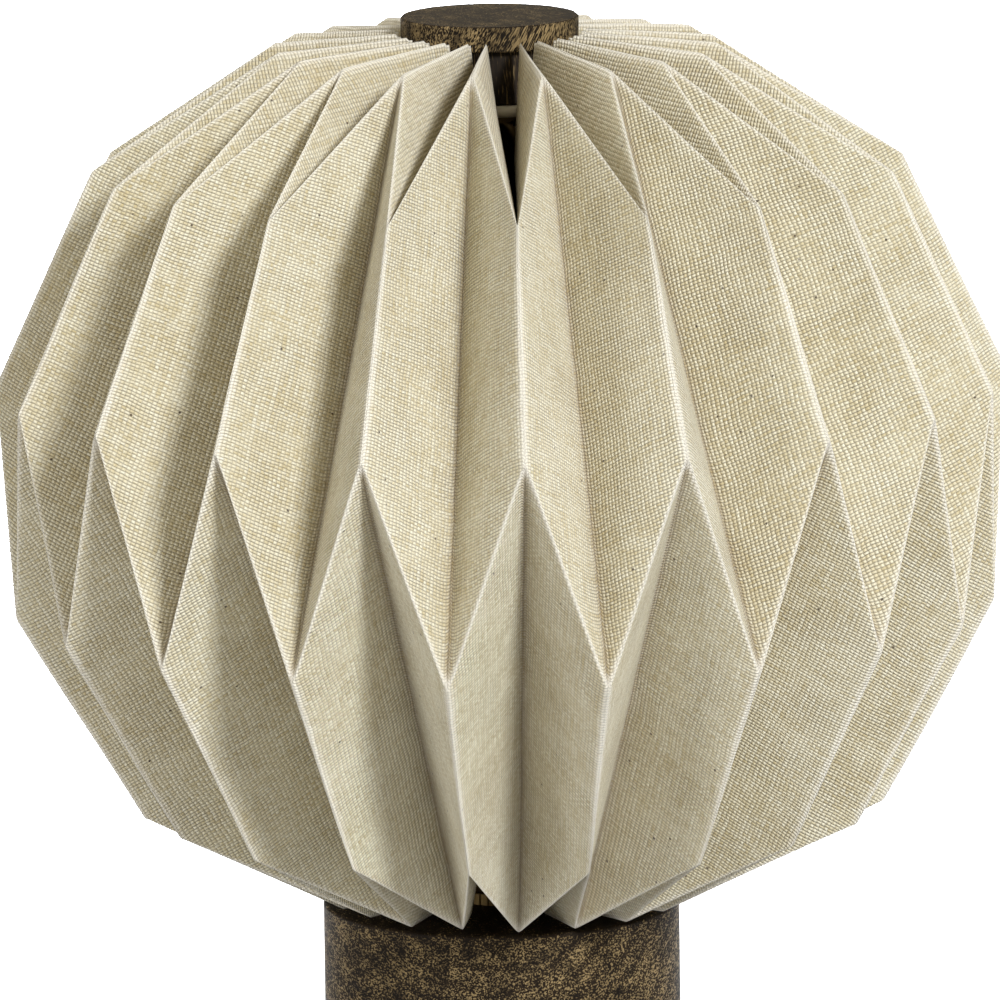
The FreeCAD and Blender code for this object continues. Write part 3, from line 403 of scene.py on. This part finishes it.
def brushed(name, tint, roughness, along=(900, 900, 60), metal=1.0, coat=0.0):
    """Metal or lacquer with fine marks that run one way, and dull spots."""
    finish = Finish(name)
    marks = finish.noise(finish.place(along), 1.0, 3.0, 0.6)
    dull = finish.noise(finish.place(), 120.0, 4.0, 0.6)
    dirt = finish.noise(finish.place(), 35.0, 3.0, 0.6).ramp(0.45, 0.8)
    return finish.surface(
        base_color=finish.mix(tint, [each * 0.62 for each in tint], dirt * 0.5 + dull * 0.15),
        metallic=metal,
        roughness=marks * 0.18 + dull * 0.12 + roughness,
        coat_weight=coat,
        normal=finish.bump(marks + dull * 0.4, 0.00002, 0.6),
    )


def mottled(name, tint, shade, scale, roughness, relief, clear=0.0, metal=0.0):
    """A matt or glazed surface with soft mottling and a fine texture."""
    finish = Finish(name)
    soft = finish.noise(finish.place(), scale, 4.0, 0.6)
    grit = finish.noise(finish.place(), scale * 9, 3.0, 0.6)
    return finish.surface(
        base_color=finish.mix(tint, shade, (soft * 0.7 + grit * 0.4).ramp(0.35, 0.8)),
        roughness=grit * 0.15 + roughness,
        metallic=metal,
        coat_weight=clear,
        normal=finish.bump(soft * 0.3 + grit, relief, 0.8),
    )


def felted(name):
    """Pressed felt: short crossing hairs."""
    finish = Finish(name)
    hairs = finish.noise(finish.place((1400, 300, 900)), 1.0, 3.0, 0.7, 1.2)
    cross = finish.noise(finish.place((320, 1500, 900)), 1.0, 3.0, 0.7, 1.2)
    pile = hairs.maths("MAXIMUM", cross)
    return finish.surface(
        base_color=finish.mix((0.012, 0.012, 0.013), (0.07, 0.068, 0.066), pile.ramp(0.45, 0.8)),
        roughness=0.95,
        sheen_weight=0.4,
        normal=finish.bump(pile, 0.0003, 0.8),
    )


def clear_glass(name):
    """Thin blown glass with a faint ripple."""
    finish = Finish(name)
    ripple = finish.noise(finish.place(), 60.0, 2.0)
    # here the darkening is a faint film of grime that greys and roughens the glass
    darkening = finish.noise(finish.place(), 900.0, 3.0).ramp(0.6, 0.8)
    return finish.surface(
        base_color=finish.mix((0.96, 0.97, 0.965), (0.88, 0.88, 0.86), darkening * 0.5),
        roughness=darkening * 0.06 + 0.015,
        transmission_weight=1.0,
        ior=1.05,
        normal=finish.bump(ripple, 0.0004, 0.3),
    )


def wear(material, *names):
    """Gives the named pieces this finish."""
    for name in names:
        holder = NODES[name]
        if not holder.data.materials:
            holder.data.materials.append(material)
        for slot in holder.material_slots:
            slot.link = "OBJECT"
            slot.material = material


# ---------------------------------------------------------------- folding the cloth


# the rows of fold corners, from the upper rim to the lower one, and the panels between them
UPPER_RIM, SHOULDER, BELLY, FOOT, LOWER_RIM = range(5)
ROWS = 5
PANELS = ROWS - 1
LONGEST_MITRE = 2.2  # how many half thicknesses a sharp corner may reach


class Folds:
    """The cloth's fold corners, and any point between them."""

    def __init__(self, cloth):
        self.cloth = cloth
        self.sides = 2 * cloth.pleats
        seam = [
            (cloth.neck_radius, cloth.neck_level),
            (cloth.shoulder_radius, cloth.shoulder_level),
            (cloth.belly_top_radius, cloth.belly_top_level),
            (cloth.foot_radius, cloth.foot_level),
            (cloth.hem_radius, cloth.hem_level),
        ]
        beside = [
            (cloth.tip_radius, cloth.tip_level),
            (cloth.crown_radius, cloth.crown_level),
            (cloth.belly_foot_radius, cloth.belly_foot_level),
            (cloth.skirt_radius, cloth.skirt_level),
            (cloth.hem_valley_radius, cloth.hem_valley_level),
        ]
        rise, gap = cloth.fold_rise, cloth.fold_gap
        first = cloth.top_margin
        end = first + 3 * rise + 2 * gap + cloth.foot_margin
        flat_seam = [0, first + rise, first + rise + gap, first + 3 * rise + 2 * gap, end]
        flat_beside = [0, first, first + 2 * rise + gap, first + 2 * rise + 2 * gap, end]
        self.flat_length = end
        self.middle = np.zeros((self.sides + 1, ROWS, 3))
        self.flat = np.zeros((self.sides + 1, ROWS, 2))
        for column in range(self.sides + 1):
            even = cloth.seam_angle + math.pi * column / cloth.pleats
            gathered = even + cloth.rim_turn - cloth.crowding * math.sin(even)
            for row, (radius, level) in enumerate(beside if column % 2 else seam):
                turn = even if row else gathered
                spot = (radius * math.sin(turn), -radius * math.cos(turn), level)
                self.middle[column, row] = spot
                down = (flat_beside if column % 2 else flat_seam)[row]
                self.flat[column, row] = (column * cloth.pleat_side, down)
        self.middle[:, SHOULDER:LOWER_RIM, 0] += cloth.drift
        self.middle[:, FOOT, 0] += cloth.foot_drift
        self.middle[0, UPPER_RIM, 0] += cloth.slit_right
        self.middle[1, UPPER_RIM, 0] += cloth.slit_spread
        self.middle[-1, UPPER_RIM, 0] -= cloth.slit_left
        self.middle[-2, UPPER_RIM, 0] -= cloth.slit_spread
        self.loosen()
        # each panel's outward direction, square to its two diagonals
        near, far = self.middle[:-1], self.middle[1:]
        facing = np.cross(far[:, 1:] - near[:, :-1], far[:, :-1] - near[:, 1:])
        self.facing = facing / np.linalg.norm(facing, axis=2, keepdims=True)
        step = self.mitres() * cloth.thickness / 2
        self.outside = self.middle + step
        self.inside = self.middle - step

    def loosen(self):
        """No two pleats of a hand-folded shade are quite alike."""
        chance = random.Random(7)
        for column in range(self.sides):
            for row in (SHOULDER, BELLY, FOOT):
                drift = [chance.uniform(-1, 1) * self.cloth.waver for _ in range(3)]
                self.middle[column, row] += drift
        self.middle[-1, 1:] = self.middle[0, 1:]

    def mitres(self):
        """From each corner, the step that moves every panel round it out by one."""
        steps = np.zeros_like(self.middle)
        for column in range(self.sides + 1):
            for row in range(ROWS):
                sides = [column - 1, column]
                if row and column in (0, self.sides):
                    sides = [self.sides - 1, 0]
                around = [self.facing[side, level] for side in sides for level in (row - 1, row)
                          if 0 <= side < self.sides and 0 <= level < PANELS]
                mean = sum(around)
                mean /= np.linalg.norm(mean)
                reach = sum(mean @ each for each in around) / len(around)
                steps[column, row] = mean * min(LONGEST_MITRE, 1 / max(reach, 0.05))
        return steps

    def spread(self, corners, across, down):
        """Points on the panels. across and down hold (panel, share) pairs."""
        side = np.array([each[0] for each in across])
        share = np.array([each[1] for each in across])[:, None, None]
        level = np.array([each[0] for each in down])
        drop = np.array([each[1] for each in down])[None, :, None]
        top = corners[np.ix_(side, level)] * (1 - share) + corners[np.ix_(side + 1, level)] * share
        low = corners[np.ix_(side, level + 1)] * (1 - share)
        low = low + corners[np.ix_(side + 1, level + 1)] * share
        return top * (1 - drop) + low * drop

    def crease(self, side, level):
        """1 where the fold down this side of a panel points outwards, -1 where inwards."""
        left = (side - 1) % self.sides
        return self.turn(self.facing[left, level], self.facing[side % self.sides, level],
                         self.heart(left, level), self.heart(side % self.sides, level))

    def heart(self, side, level):
        """The middle of a panel."""
        return self.middle[side:side + 2, level:level + 2].reshape(4, 3).mean(0)

    @staticmethod
    def turn(first, second, start, end):
        """1 where two panels, by their directions and middles, fold outwards, else -1."""
        return float(np.sign((second - first) @ (end - start)))


def shares(size, near, step):
    """Shares of a panel's width: close together by its folds and even between them."""
    edge = [each / size for each in near]
    count = max(2, round((size - 2 * near[-1]) / step))
    open_part = [edge[-1] + (1 - 2 * edge[-1]) * index / count for index in range(1, count)]
    return [0.0] + edge + open_part + [1 - each for each in reversed(edge)]


NEAR_FOLD = (0.0007, 0.0015, 0.0027, 0.0048)  # metres from a fold to the lines beside it
PUCKER_RATE = 55  # puckers per metre of flat cloth
WANDER_RATE = 26  # turns of the folds' wandering per metre
BESIDE_FOLD = 0.66  # share of a fold's mark that its neighbours take
RIDGE_LINES = 3  # lines of points over which an outward fold's mark fades
VALLEY_LINES = 4  # and an inward fold's


class FoldedGrid:
    """Both skins of the cloth as grids of points, with their flat places and fold marks."""

    def __init__(self, cloth):
        self.cloth = cloth
        self.folds = folds = Folds(cloth)
        heights = folds.flat[:2, :, 1].mean(0)
        self.across = self.samples([cloth.pleat_side] * folds.sides)
        self.down = self.samples(np.diff(heights))
        self.column_folds = [i for i, each in enumerate(self.across) if each[1] in (0.0, 1.0)]
        self.row_folds = [j for j, each in enumerate(self.down) if each[1] == 0.0 and each[0]]
        self.slit_end = self.row_folds[0]
        self.middle = folds.spread(folds.middle, self.across, self.down)
        self.flat = folds.spread(folds.flat, self.across, self.down)
        self.ridge = self.fold_marks()
        self.cut = self.cut_marks()
        bulge = self.bulge()
        self.outside = self.soften(folds.spread(folds.outside, self.across, self.down) + bulge)
        self.inside = self.soften(folds.spread(folds.inside, self.across, self.down) + bulge)

    def samples(self, sizes):
        """Pairs of a panel and a share of it for every line of the grid one way."""
        step = self.cloth.mesh_step
        pairs = [(panel, share) for panel, size in enumerate(sizes)
                 for share in shares(size, NEAR_FOLD, step)]
        return pairs + [(len(sizes) - 1, 1.0)]

    def fold_marks(self):
        """1 along the folds that point outwards and -1 along those that point inwards."""
        folds = self.folds
        marks = np.zeros(self.middle.shape[:2])
        for i in self.column_folds:
            side = self.across[i][0] + (self.across[i][1] == 1.0)
            for j, (level, drop) in enumerate(self.down):
                marks[i, j] = folds.crease(side, level)
                if not drop and level:
                    marks[i, j] = max(marks[i, j], folds.crease(side, level - 1))
        for j in self.row_folds:
            level = self.down[j][0]
            for i, (side, _) in enumerate(self.across):
                sign = folds.turn(folds.facing[side, level - 1], folds.facing[side, level],
                                  folds.heart(side, level - 1), folds.heart(side, level))
                marks[i, j] = sign if marks[i, j] == 0 else max(marks[i, j], sign)
        marks[0, :self.slit_end] = marks[-1, :self.slit_end] = 0
        return marks

    def cut_marks(self):
        """1 along the rims, the slit, and the seam below the slit."""
        marks = np.zeros(self.middle.shape[:2])
        seam_end = self.row_folds[1] + 1
        marks[:, 0] = marks[:, -1] = 1
        marks[0, :seam_end] = marks[-1, :seam_end] = 1
        return marks

    def bulge(self):
        """How far the cloth bows out of its flat panels, and wanders."""
        cloth, folds = self.cloth, self.folds
        chance = random.Random(11)
        noise.seed_set(11)  # without a seed the wandering would differ from run to run
        bows = [[chance.uniform(-0.1, 1.2) for _ in range(PANELS)] for _ in range(folds.sides)]
        bulge = np.zeros_like(self.middle)
        for i, (side, share) in enumerate(self.across):
            for j, (level, drop) in enumerate(self.down):
                hill = (1 - (2 * share - 1) ** 2) * (1 - (2 * drop - 1) ** 2)
                pucker = noise.noise(Vector((*self.flat[i, j] * PUCKER_RATE, 3.0))) * 0.5
                bulge[i, j] = folds.facing[side, level] * hill * (bows[side][level] + pucker)
                bulge[i, j] *= cloth.bow
                wander = noise.noise_vector(Vector(self.middle[i, j]) * WANDER_RATE)
                bulge[i, j] += Vector(wander) * cloth.waver
        return bulge

    def soften(self, grid):
        """Rounds the folds, those that point inwards the most, and blunts the rims' tips."""
        start = self.slit_end
        firm = np.clip(spread_near(self.ridge), 0, 1)[..., None]
        for done in range(self.cloth.soften_rounds):
            pull = 0.5 * (1 - firm) if done >= self.cloth.free_rounds else 0.5
            even = grid.copy()
            even[1:-1] = between(grid, self.flat[:, 0, 0])
            even[0, start:] = even[-1, start:] = (grid[1, start:] + grid[-2, start:]) / 2
            grid = grid + pull * (even - grid)
            even = grid.copy()
            even[:, 1:-1] = between(grid.swapaxes(0, 1), self.flat[:2, :, 1].mean(0)).swapaxes(0, 1)
            grid = grid + pull * (even - grid)
        for _ in range(self.cloth.blunting):
            for rim in (slice(0, 3), slice(-3, None)):
                grid[1:-1, rim] = between(grid[:, rim], self.flat[:, 0, 0])
        return grid


def between(grid, places):
    """For each inner line of a grid, where it would lie straight between its neighbours."""
    gap = np.diff(places)
    share = (gap[:-1] / (gap[:-1] + gap[1:]))[:, None, None]
    return grid[:-2] * (1 - share) + grid[2:] * share


def spread_near(marks):
    """Lets an outward mark reach the first points beside it."""
    wide = np.clip(marks, 0, 1)
    beside = np.zeros_like(wide)
    beside[1:] = np.maximum(beside[1:], wide[:-1])
    beside[:-1] = np.maximum(beside[:-1], wide[1:])
    beside[:, 1:] = np.maximum(beside[:, 1:], wide[:, :-1])
    beside[:, :-1] = np.maximum(beside[:, :-1], wide[:, 1:])
    return np.maximum(wide, beside * BESIDE_FOLD)


def widen(marks, times):
    """Lets an outward mark fade over this many lines of points beside it."""
    for _ in range(times):
        marks = spread_near(marks)
    return marks


def paint(mesh, name, kind, values):
    """Stores one value for each corner of each face."""
    layer = mesh.attributes.new(name, kind, "CORNER")
    field = "vector" if kind == "FLOAT_VECTOR" else "value"
    layer.data.foreach_set(field, np.ascontiguousarray(values, dtype=np.float32).ravel())


def cloth_mesh(grid):
    """Joins the two skins along the rims and the slit, and closes the seam below it."""
    columns, rows = grid.ridge.shape
    slit_end = grid.slit_end
    number = np.zeros((2, columns, rows), dtype=int)
    points = []
    for skin, places in enumerate((grid.outside, grid.inside)):
        for i in range(columns):
            for j in range(rows):
                if i == columns - 1 and j >= slit_end:
                    number[skin, i, j] = number[skin, 0, j]
                    continue
                number[skin, i, j] = len(points)
                points.append(tuple(places[i, j]))
    rings = []
    for i in range(columns - 1):
        for j in range(rows - 1):
            ring = ((i, j), (i, j + 1), (i + 1, j + 1), (i + 1, j))
            rings.append([(0, *each) for each in ring])
            rings.append([(1, *each) for each in reversed(ring)])
    edges = [((i + 1, 0), (i, 0)) for i in range(columns - 1)]
    edges += [((i, rows - 1), (i + 1, rows - 1)) for i in range(columns - 1)]
    edges += [((0, j), (0, j + 1)) for j in range(slit_end)]
    edges += [((columns - 1, j + 1), (columns - 1, j)) for j in range(slit_end)]
    rims = len(rings)
    for first, second in edges:
        rings.append([(0, *second), (0, *first), (1, *first), (1, *second)])
    faces = [[int(number[corner]) for corner in ring] for ring in rings]
    picked = [corner for ring in rings for corner in ring]
    mesh = bpy.data.meshes.new("shade_cloth")
    mesh.from_pydata(points, [], faces)
    mesh.polygons.foreach_set("use_smooth", [True] * len(mesh.polygons))
    ridges = (widen(grid.ridge, RIDGE_LINES), widen(-grid.ridge, RIDGE_LINES))
    # the valley marks say where the linen's painted shade lies
    valleys = (widen(-grid.ridge, VALLEY_LINES), widen(grid.ridge, VALLEY_LINES))
    paint(mesh, "flat", "FLOAT_VECTOR", [(*grid.flat[i, j] / MM, 0) for _, i, j in picked])
    paint(mesh, "ridge", "FLOAT", [ridges[skin][i, j] for skin, i, j in picked])
    paint(mesh, "valley", "FLOAT", [valleys[skin][i, j] for skin, i, j in picked])
    paint(mesh, "cut", "FLOAT", [grid.cut[i, j] for _, i, j in picked])
    sharp = {key for face in mesh.polygons[rims:] for key in face.edge_keys}
    for edge in mesh.edges:
        edge.use_edge_sharp = tuple(sorted(edge.vertices)) in sharp
    return mesh


def add_piece(name, mesh, material, body):
    """Adds a piece that rides on a body."""
    piece = bpy.data.objects.new(name, mesh)
    bpy.context.scene.collection.objects.link(piece)
    piece.data.materials.append(material)
    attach(piece, body)
    return piece


# ---------------------------------------------------------------- operators


class LAMP_OT_fold_shade(bpy.types.Operator):
    """Folds the linen strip into the globe shade and glues its seam"""

    bl_idname = "lamp.fold_shade"
    bl_label = "Fold the shade"

    def execute(self, context):
        cloth = context.scene.lamp_cloth
        grid = FoldedGrid(cloth)
        shade = add_piece("shade_cloth", cloth_mesh(grid), linen(cloth), "shade")
        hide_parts("shade_fabric")
        return {"FINISHED"}


class LAMP_OT_finish_rings(bpy.types.Operator):
    """Lacquers the wire rings that carry the shade"""

    bl_idname = "lamp.finish_rings"
    bl_label = "Lacquer the rings"

    def execute(self, context):
        tint = tuple(context.scene.lamp_metal.lacquer)
        lacquer = brushed("cream_lacquer", tint, 0.32, (400, 400, 400), 0.0, 0.25)
        wear(lacquer, "shade_spider", "shade_lower_ring")
        return {"FINISHED"}


class LAMP_OT_finish_wood(bpy.types.Operator):
    """Gives the base, the cap and its neck their open-pored dark wood"""

    bl_idname = "lamp.finish_wood"
    bl_label = "Finish the wood"

    def execute(self, context):
        settings = context.scene.lamp_wood
        quarter = math.pi / 2
        # the last number of each is the level above which a top face gets painted shade
        wear(wood(settings, "base_wood", (quarter - 0.20, 0.10, 0.12), (1950, 800), -0.022,
                  (0.010, -0.165, 0.0), 0.10, 0.1272), "base_body")
        wear(wood(settings, "cap_wood", (0.25, -0.46, 0.0), (2600, 330), 0.02,
                  (0.10, 0.05, 0.0), 0.10, 0.3994), "cap_disc")
        wear(wood(settings, "neck_wood", (0.0, 0.06, 0.0), (2300, 260), -0.12,
                  (0.10, 0.05, 0.0), 0.2, 0.5), "cap_neck")
        return {"FINISHED"}


class LAMP_OT_finish_stand(bpy.types.Operator):
    """Finishes the threaded rod, stem, harp, ballast, felt and cable bush"""

    bl_idname = "lamp.finish_stand"
    bl_label = "Finish the stand"

    def execute(self, context):
        metal = context.scene.lamp_metal
        brass = brushed("brass", tuple(metal.brass), 0.24)
        steel = brushed("zinc_steel", tuple(metal.steel), 0.30, (600, 600, 600))
        wear(brass, "check_ring", "stem_tube", "harp_saddle", "harp_wire", "harp_plate",
             "sleeve_left", "sleeve_right", "neck_insert")
        wear(steel, "threaded_rod", "rod_washer", "rod_nut", "saddle_nut", "cap_screws")
        wear(mottled("cast_iron", (0.075, 0.075, 0.08), (0.03, 0.028, 0.027), 160.0, 0.6,
                     0.0004, metal=0.6), "ballast_disc")
        wear(felted("felt"), "felt_pad")
        wear(mottled("black_rubber", (0.022, 0.022, 0.022), (0.012, 0.012, 0.012), 300.0, 0.62,
                     0.00008), "cable_bush")
        return {"FINISHED"}


class LAMP_OT_finish_holder(bpy.types.Operator):
    """Finishes the lamp holder and its contacts"""

    bl_idname = "lamp.finish_holder"
    bl_label = "Finish the lamp holder"

    def execute(self, context):
        metal = context.scene.lamp_metal
        wear(brushed("holder_brass", tuple(metal.brass), 0.22, (80, 80, 1200)), "holder_cap",
             "holder_shell", "centre_contact")
        wear(mottled("porcelain", (0.80, 0.79, 0.75), (0.72, 0.70, 0.65), 90.0, 0.16, 0.00004, 0.4),
             "holder_insulator")
        wear(brushed("nickel_shell", tuple(metal.nickel), 0.24, (80, 80, 900)), "screw_shell")
        wear(brushed("terminal_steel", tuple(metal.steel), 0.28, (500, 500, 500)),
             "terminal_screws")
        return {"FINISHED"}


class LAMP_OT_finish_bulb(bpy.types.Operator):
    """Finishes the bulb: clear glass, light strips, stem and screw cap"""

    bl_idname = "lamp.finish_bulb"
    bl_label = "Finish the bulb"

    def execute(self, context):
        metal = context.scene.lamp_metal
        wear(clear_glass("glass"), "bulb_glass", "bulb_stem")
        wear(brushed("nickel", tuple(metal.nickel), 0.26, (80, 80, 900)), "bulb_base",
             "bulb_contact")
        wear(mottled("black_glass", (0.02, 0.02, 0.025), (0.035, 0.033, 0.04), 200.0, 0.12,
                     0.00002, 0.5), "bulb_insulator")
        wear(mottled("phosphor", (0.86, 0.60, 0.12), (0.74, 0.48, 0.08), 700.0, 0.55, 0.00010),
             "bulb_filaments")
        return {"FINISHED"}


class LAMP_OT_set_stage(bpy.types.Operator):
    """Lays the pale floor, hangs the soft lights and sets the camera"""

    bl_idname = "lamp.set_stage"
    bl_label = "Set the stage"

    def execute(self, context):
        stage = context.scene.lamp_stage
        self.lay_floor(tuple(stage.floor))
        self.light_sky(context.scene, stage.fill, tuple(stage.fill_tint))
        tint = tuple(stage.key_tint)
        self.hang_light("key", (1.25, -2.15, 1.75), stage.key, size=0.55, tint=tint)
        self.hang_light("side", (-2.3, -1.5, 0.55), stage.side, size=1.2, tint=tint)
        self.hang_light("back", (0.0, 3.0, 2.8), stage.backdrop, size=2.0, target=(0, 2.1, 0),
                        spread=50)
        self.set_camera(context.scene, stage)
        context.scene.view_settings.view_transform = "Standard"
        return {"FINISHED"}

    def lay_floor(self, tint):
        """A wide flat floor, so that no pose and no side of the lamp is hidden by a wall."""
        reach = 60.0
        points = [(x * reach, y * reach, 0) for x, y in ((-1, -1), (1, -1), (1, 1), (-1, 1))]
        mesh = bpy.data.meshes.new("studio_floor")
        mesh.from_pydata(points, [], [(0, 1, 2, 3)])
        finish = Finish("studio_floor")
        speck = finish.noise(finish.place(), 9.0, 3.0)
        mesh.materials.append(finish.surface(
            base_color=finish.mix(tint, [each * 0.985 for each in tint], speck), roughness=0.85))
        floor = bpy.data.objects.new("studio_floor", mesh)
        bpy.context.scene.collection.objects.link(floor)

    def light_sky(self, scene, strength, tint):
        """Even light from all round."""
        world = bpy.data.worlds.new("studio")
        world.use_nodes = True
        sky = world.node_tree.nodes["Background"]
        sky.inputs["Color"].default_value = (*tint, 1)
        sky.inputs["Strength"].default_value = strength
        scene.world = world

    def hang_light(self, name, place, power, size, target=(0, 0, 0.27), tint=(1, 1, 1),
                   spread=180):
        """A square soft light at a place, aimed at the lamp unless a target is given."""
        data = bpy.data.lights.new(name, "AREA")
        data.energy = power
        data.size = size
        data.color = tint
        data.spread = math.radians(spread)
        lamp = bpy.data.objects.new(name, data)
        lamp.location = place
        aim = Vector(target) - Vector(place)
        lamp.rotation_euler = aim.to_track_quat("-Z", "Y").to_euler()
        bpy.context.scene.collection.objects.link(lamp)

    def set_camera(self, scene, stage):
        """A long lens in front of the lamp, looking down a little."""
        data = bpy.data.cameras.new("camera")
        data.sensor_width = 36
        data.lens = stage.focal
        data.clip_end = 100
        camera = bpy.data.objects.new("camera", data)
        target = Vector((stage.look_aside, 0, stage.look_level))
        back = Vector((0, -math.cos(stage.look_down), math.sin(stage.look_down)))
        place = target + back * stage.distance
        facing = (-back).to_track_quat("-Z", "Y").to_matrix().to_4x4()
        camera.matrix_world = (
            Matrix.Translation(place) @ facing @ Matrix.Rotation(-stage.roll, 4, "Z")
        )
        scene.collection.objects.link(camera)
        scene.camera = camera


OPERATORS = (
    LAMP_OT_fold_shade,
    LAMP_OT_finish_rings,
    LAMP_OT_finish_wood,
    LAMP_OT_finish_stand,
    LAMP_OT_finish_holder,
    LAMP_OT_finish_bulb,
    LAMP_OT_set_stage,
)


class LAMP_PT_panel(bpy.types.Panel):
    """Lists the lamp's pieces and their sizes"""

    bl_idname = "LAMP_PT_panel"
    bl_label = "Pleated lamp"
    bl_space_type = "VIEW_3D"
    bl_region_type = "UI"
    bl_category = "Lamp"

    def draw(self, context):
        for operator in OPERATORS:
            self.layout.operator(operator.bl_idname)
        for name in SETTINGS:
            box = self.layout.box()
            group = getattr(context.scene, name)
            for each in group.__annotations__:
                box.prop(group, each)


SETTINGS = {
    "lamp_cloth": ClothSettings,
    "lamp_wood": WoodSettings,
    "lamp_metal": MetalSettings,
    "lamp_stage": StageSettings,
}


def register():
    for each in (*SETTINGS.values(), *OPERATORS, LAMP_PT_panel):
        bpy.utils.register_class(each)
    for name, group in SETTINGS.items():
        setattr(bpy.types.Scene, name, PointerProperty(type=group))


def unregister():
    for name in SETTINGS:
        delattr(bpy.types.Scene, name)
    for each in (LAMP_PT_panel, *reversed(OPERATORS), *SETTINGS.values()):
        bpy.utils.unregister_class(each)


def main():
    register()
    bpy.ops.lamp.fold_shade()
    bpy.ops.lamp.finish_rings()
    bpy.ops.lamp.finish_wood()
    bpy.ops.lamp.finish_stand()
    bpy.ops.lamp.finish_holder()
    bpy.ops.lamp.finish_bulb()
    bpy.ops.lamp.set_stage()


if __name__ == "__main__":
    main()
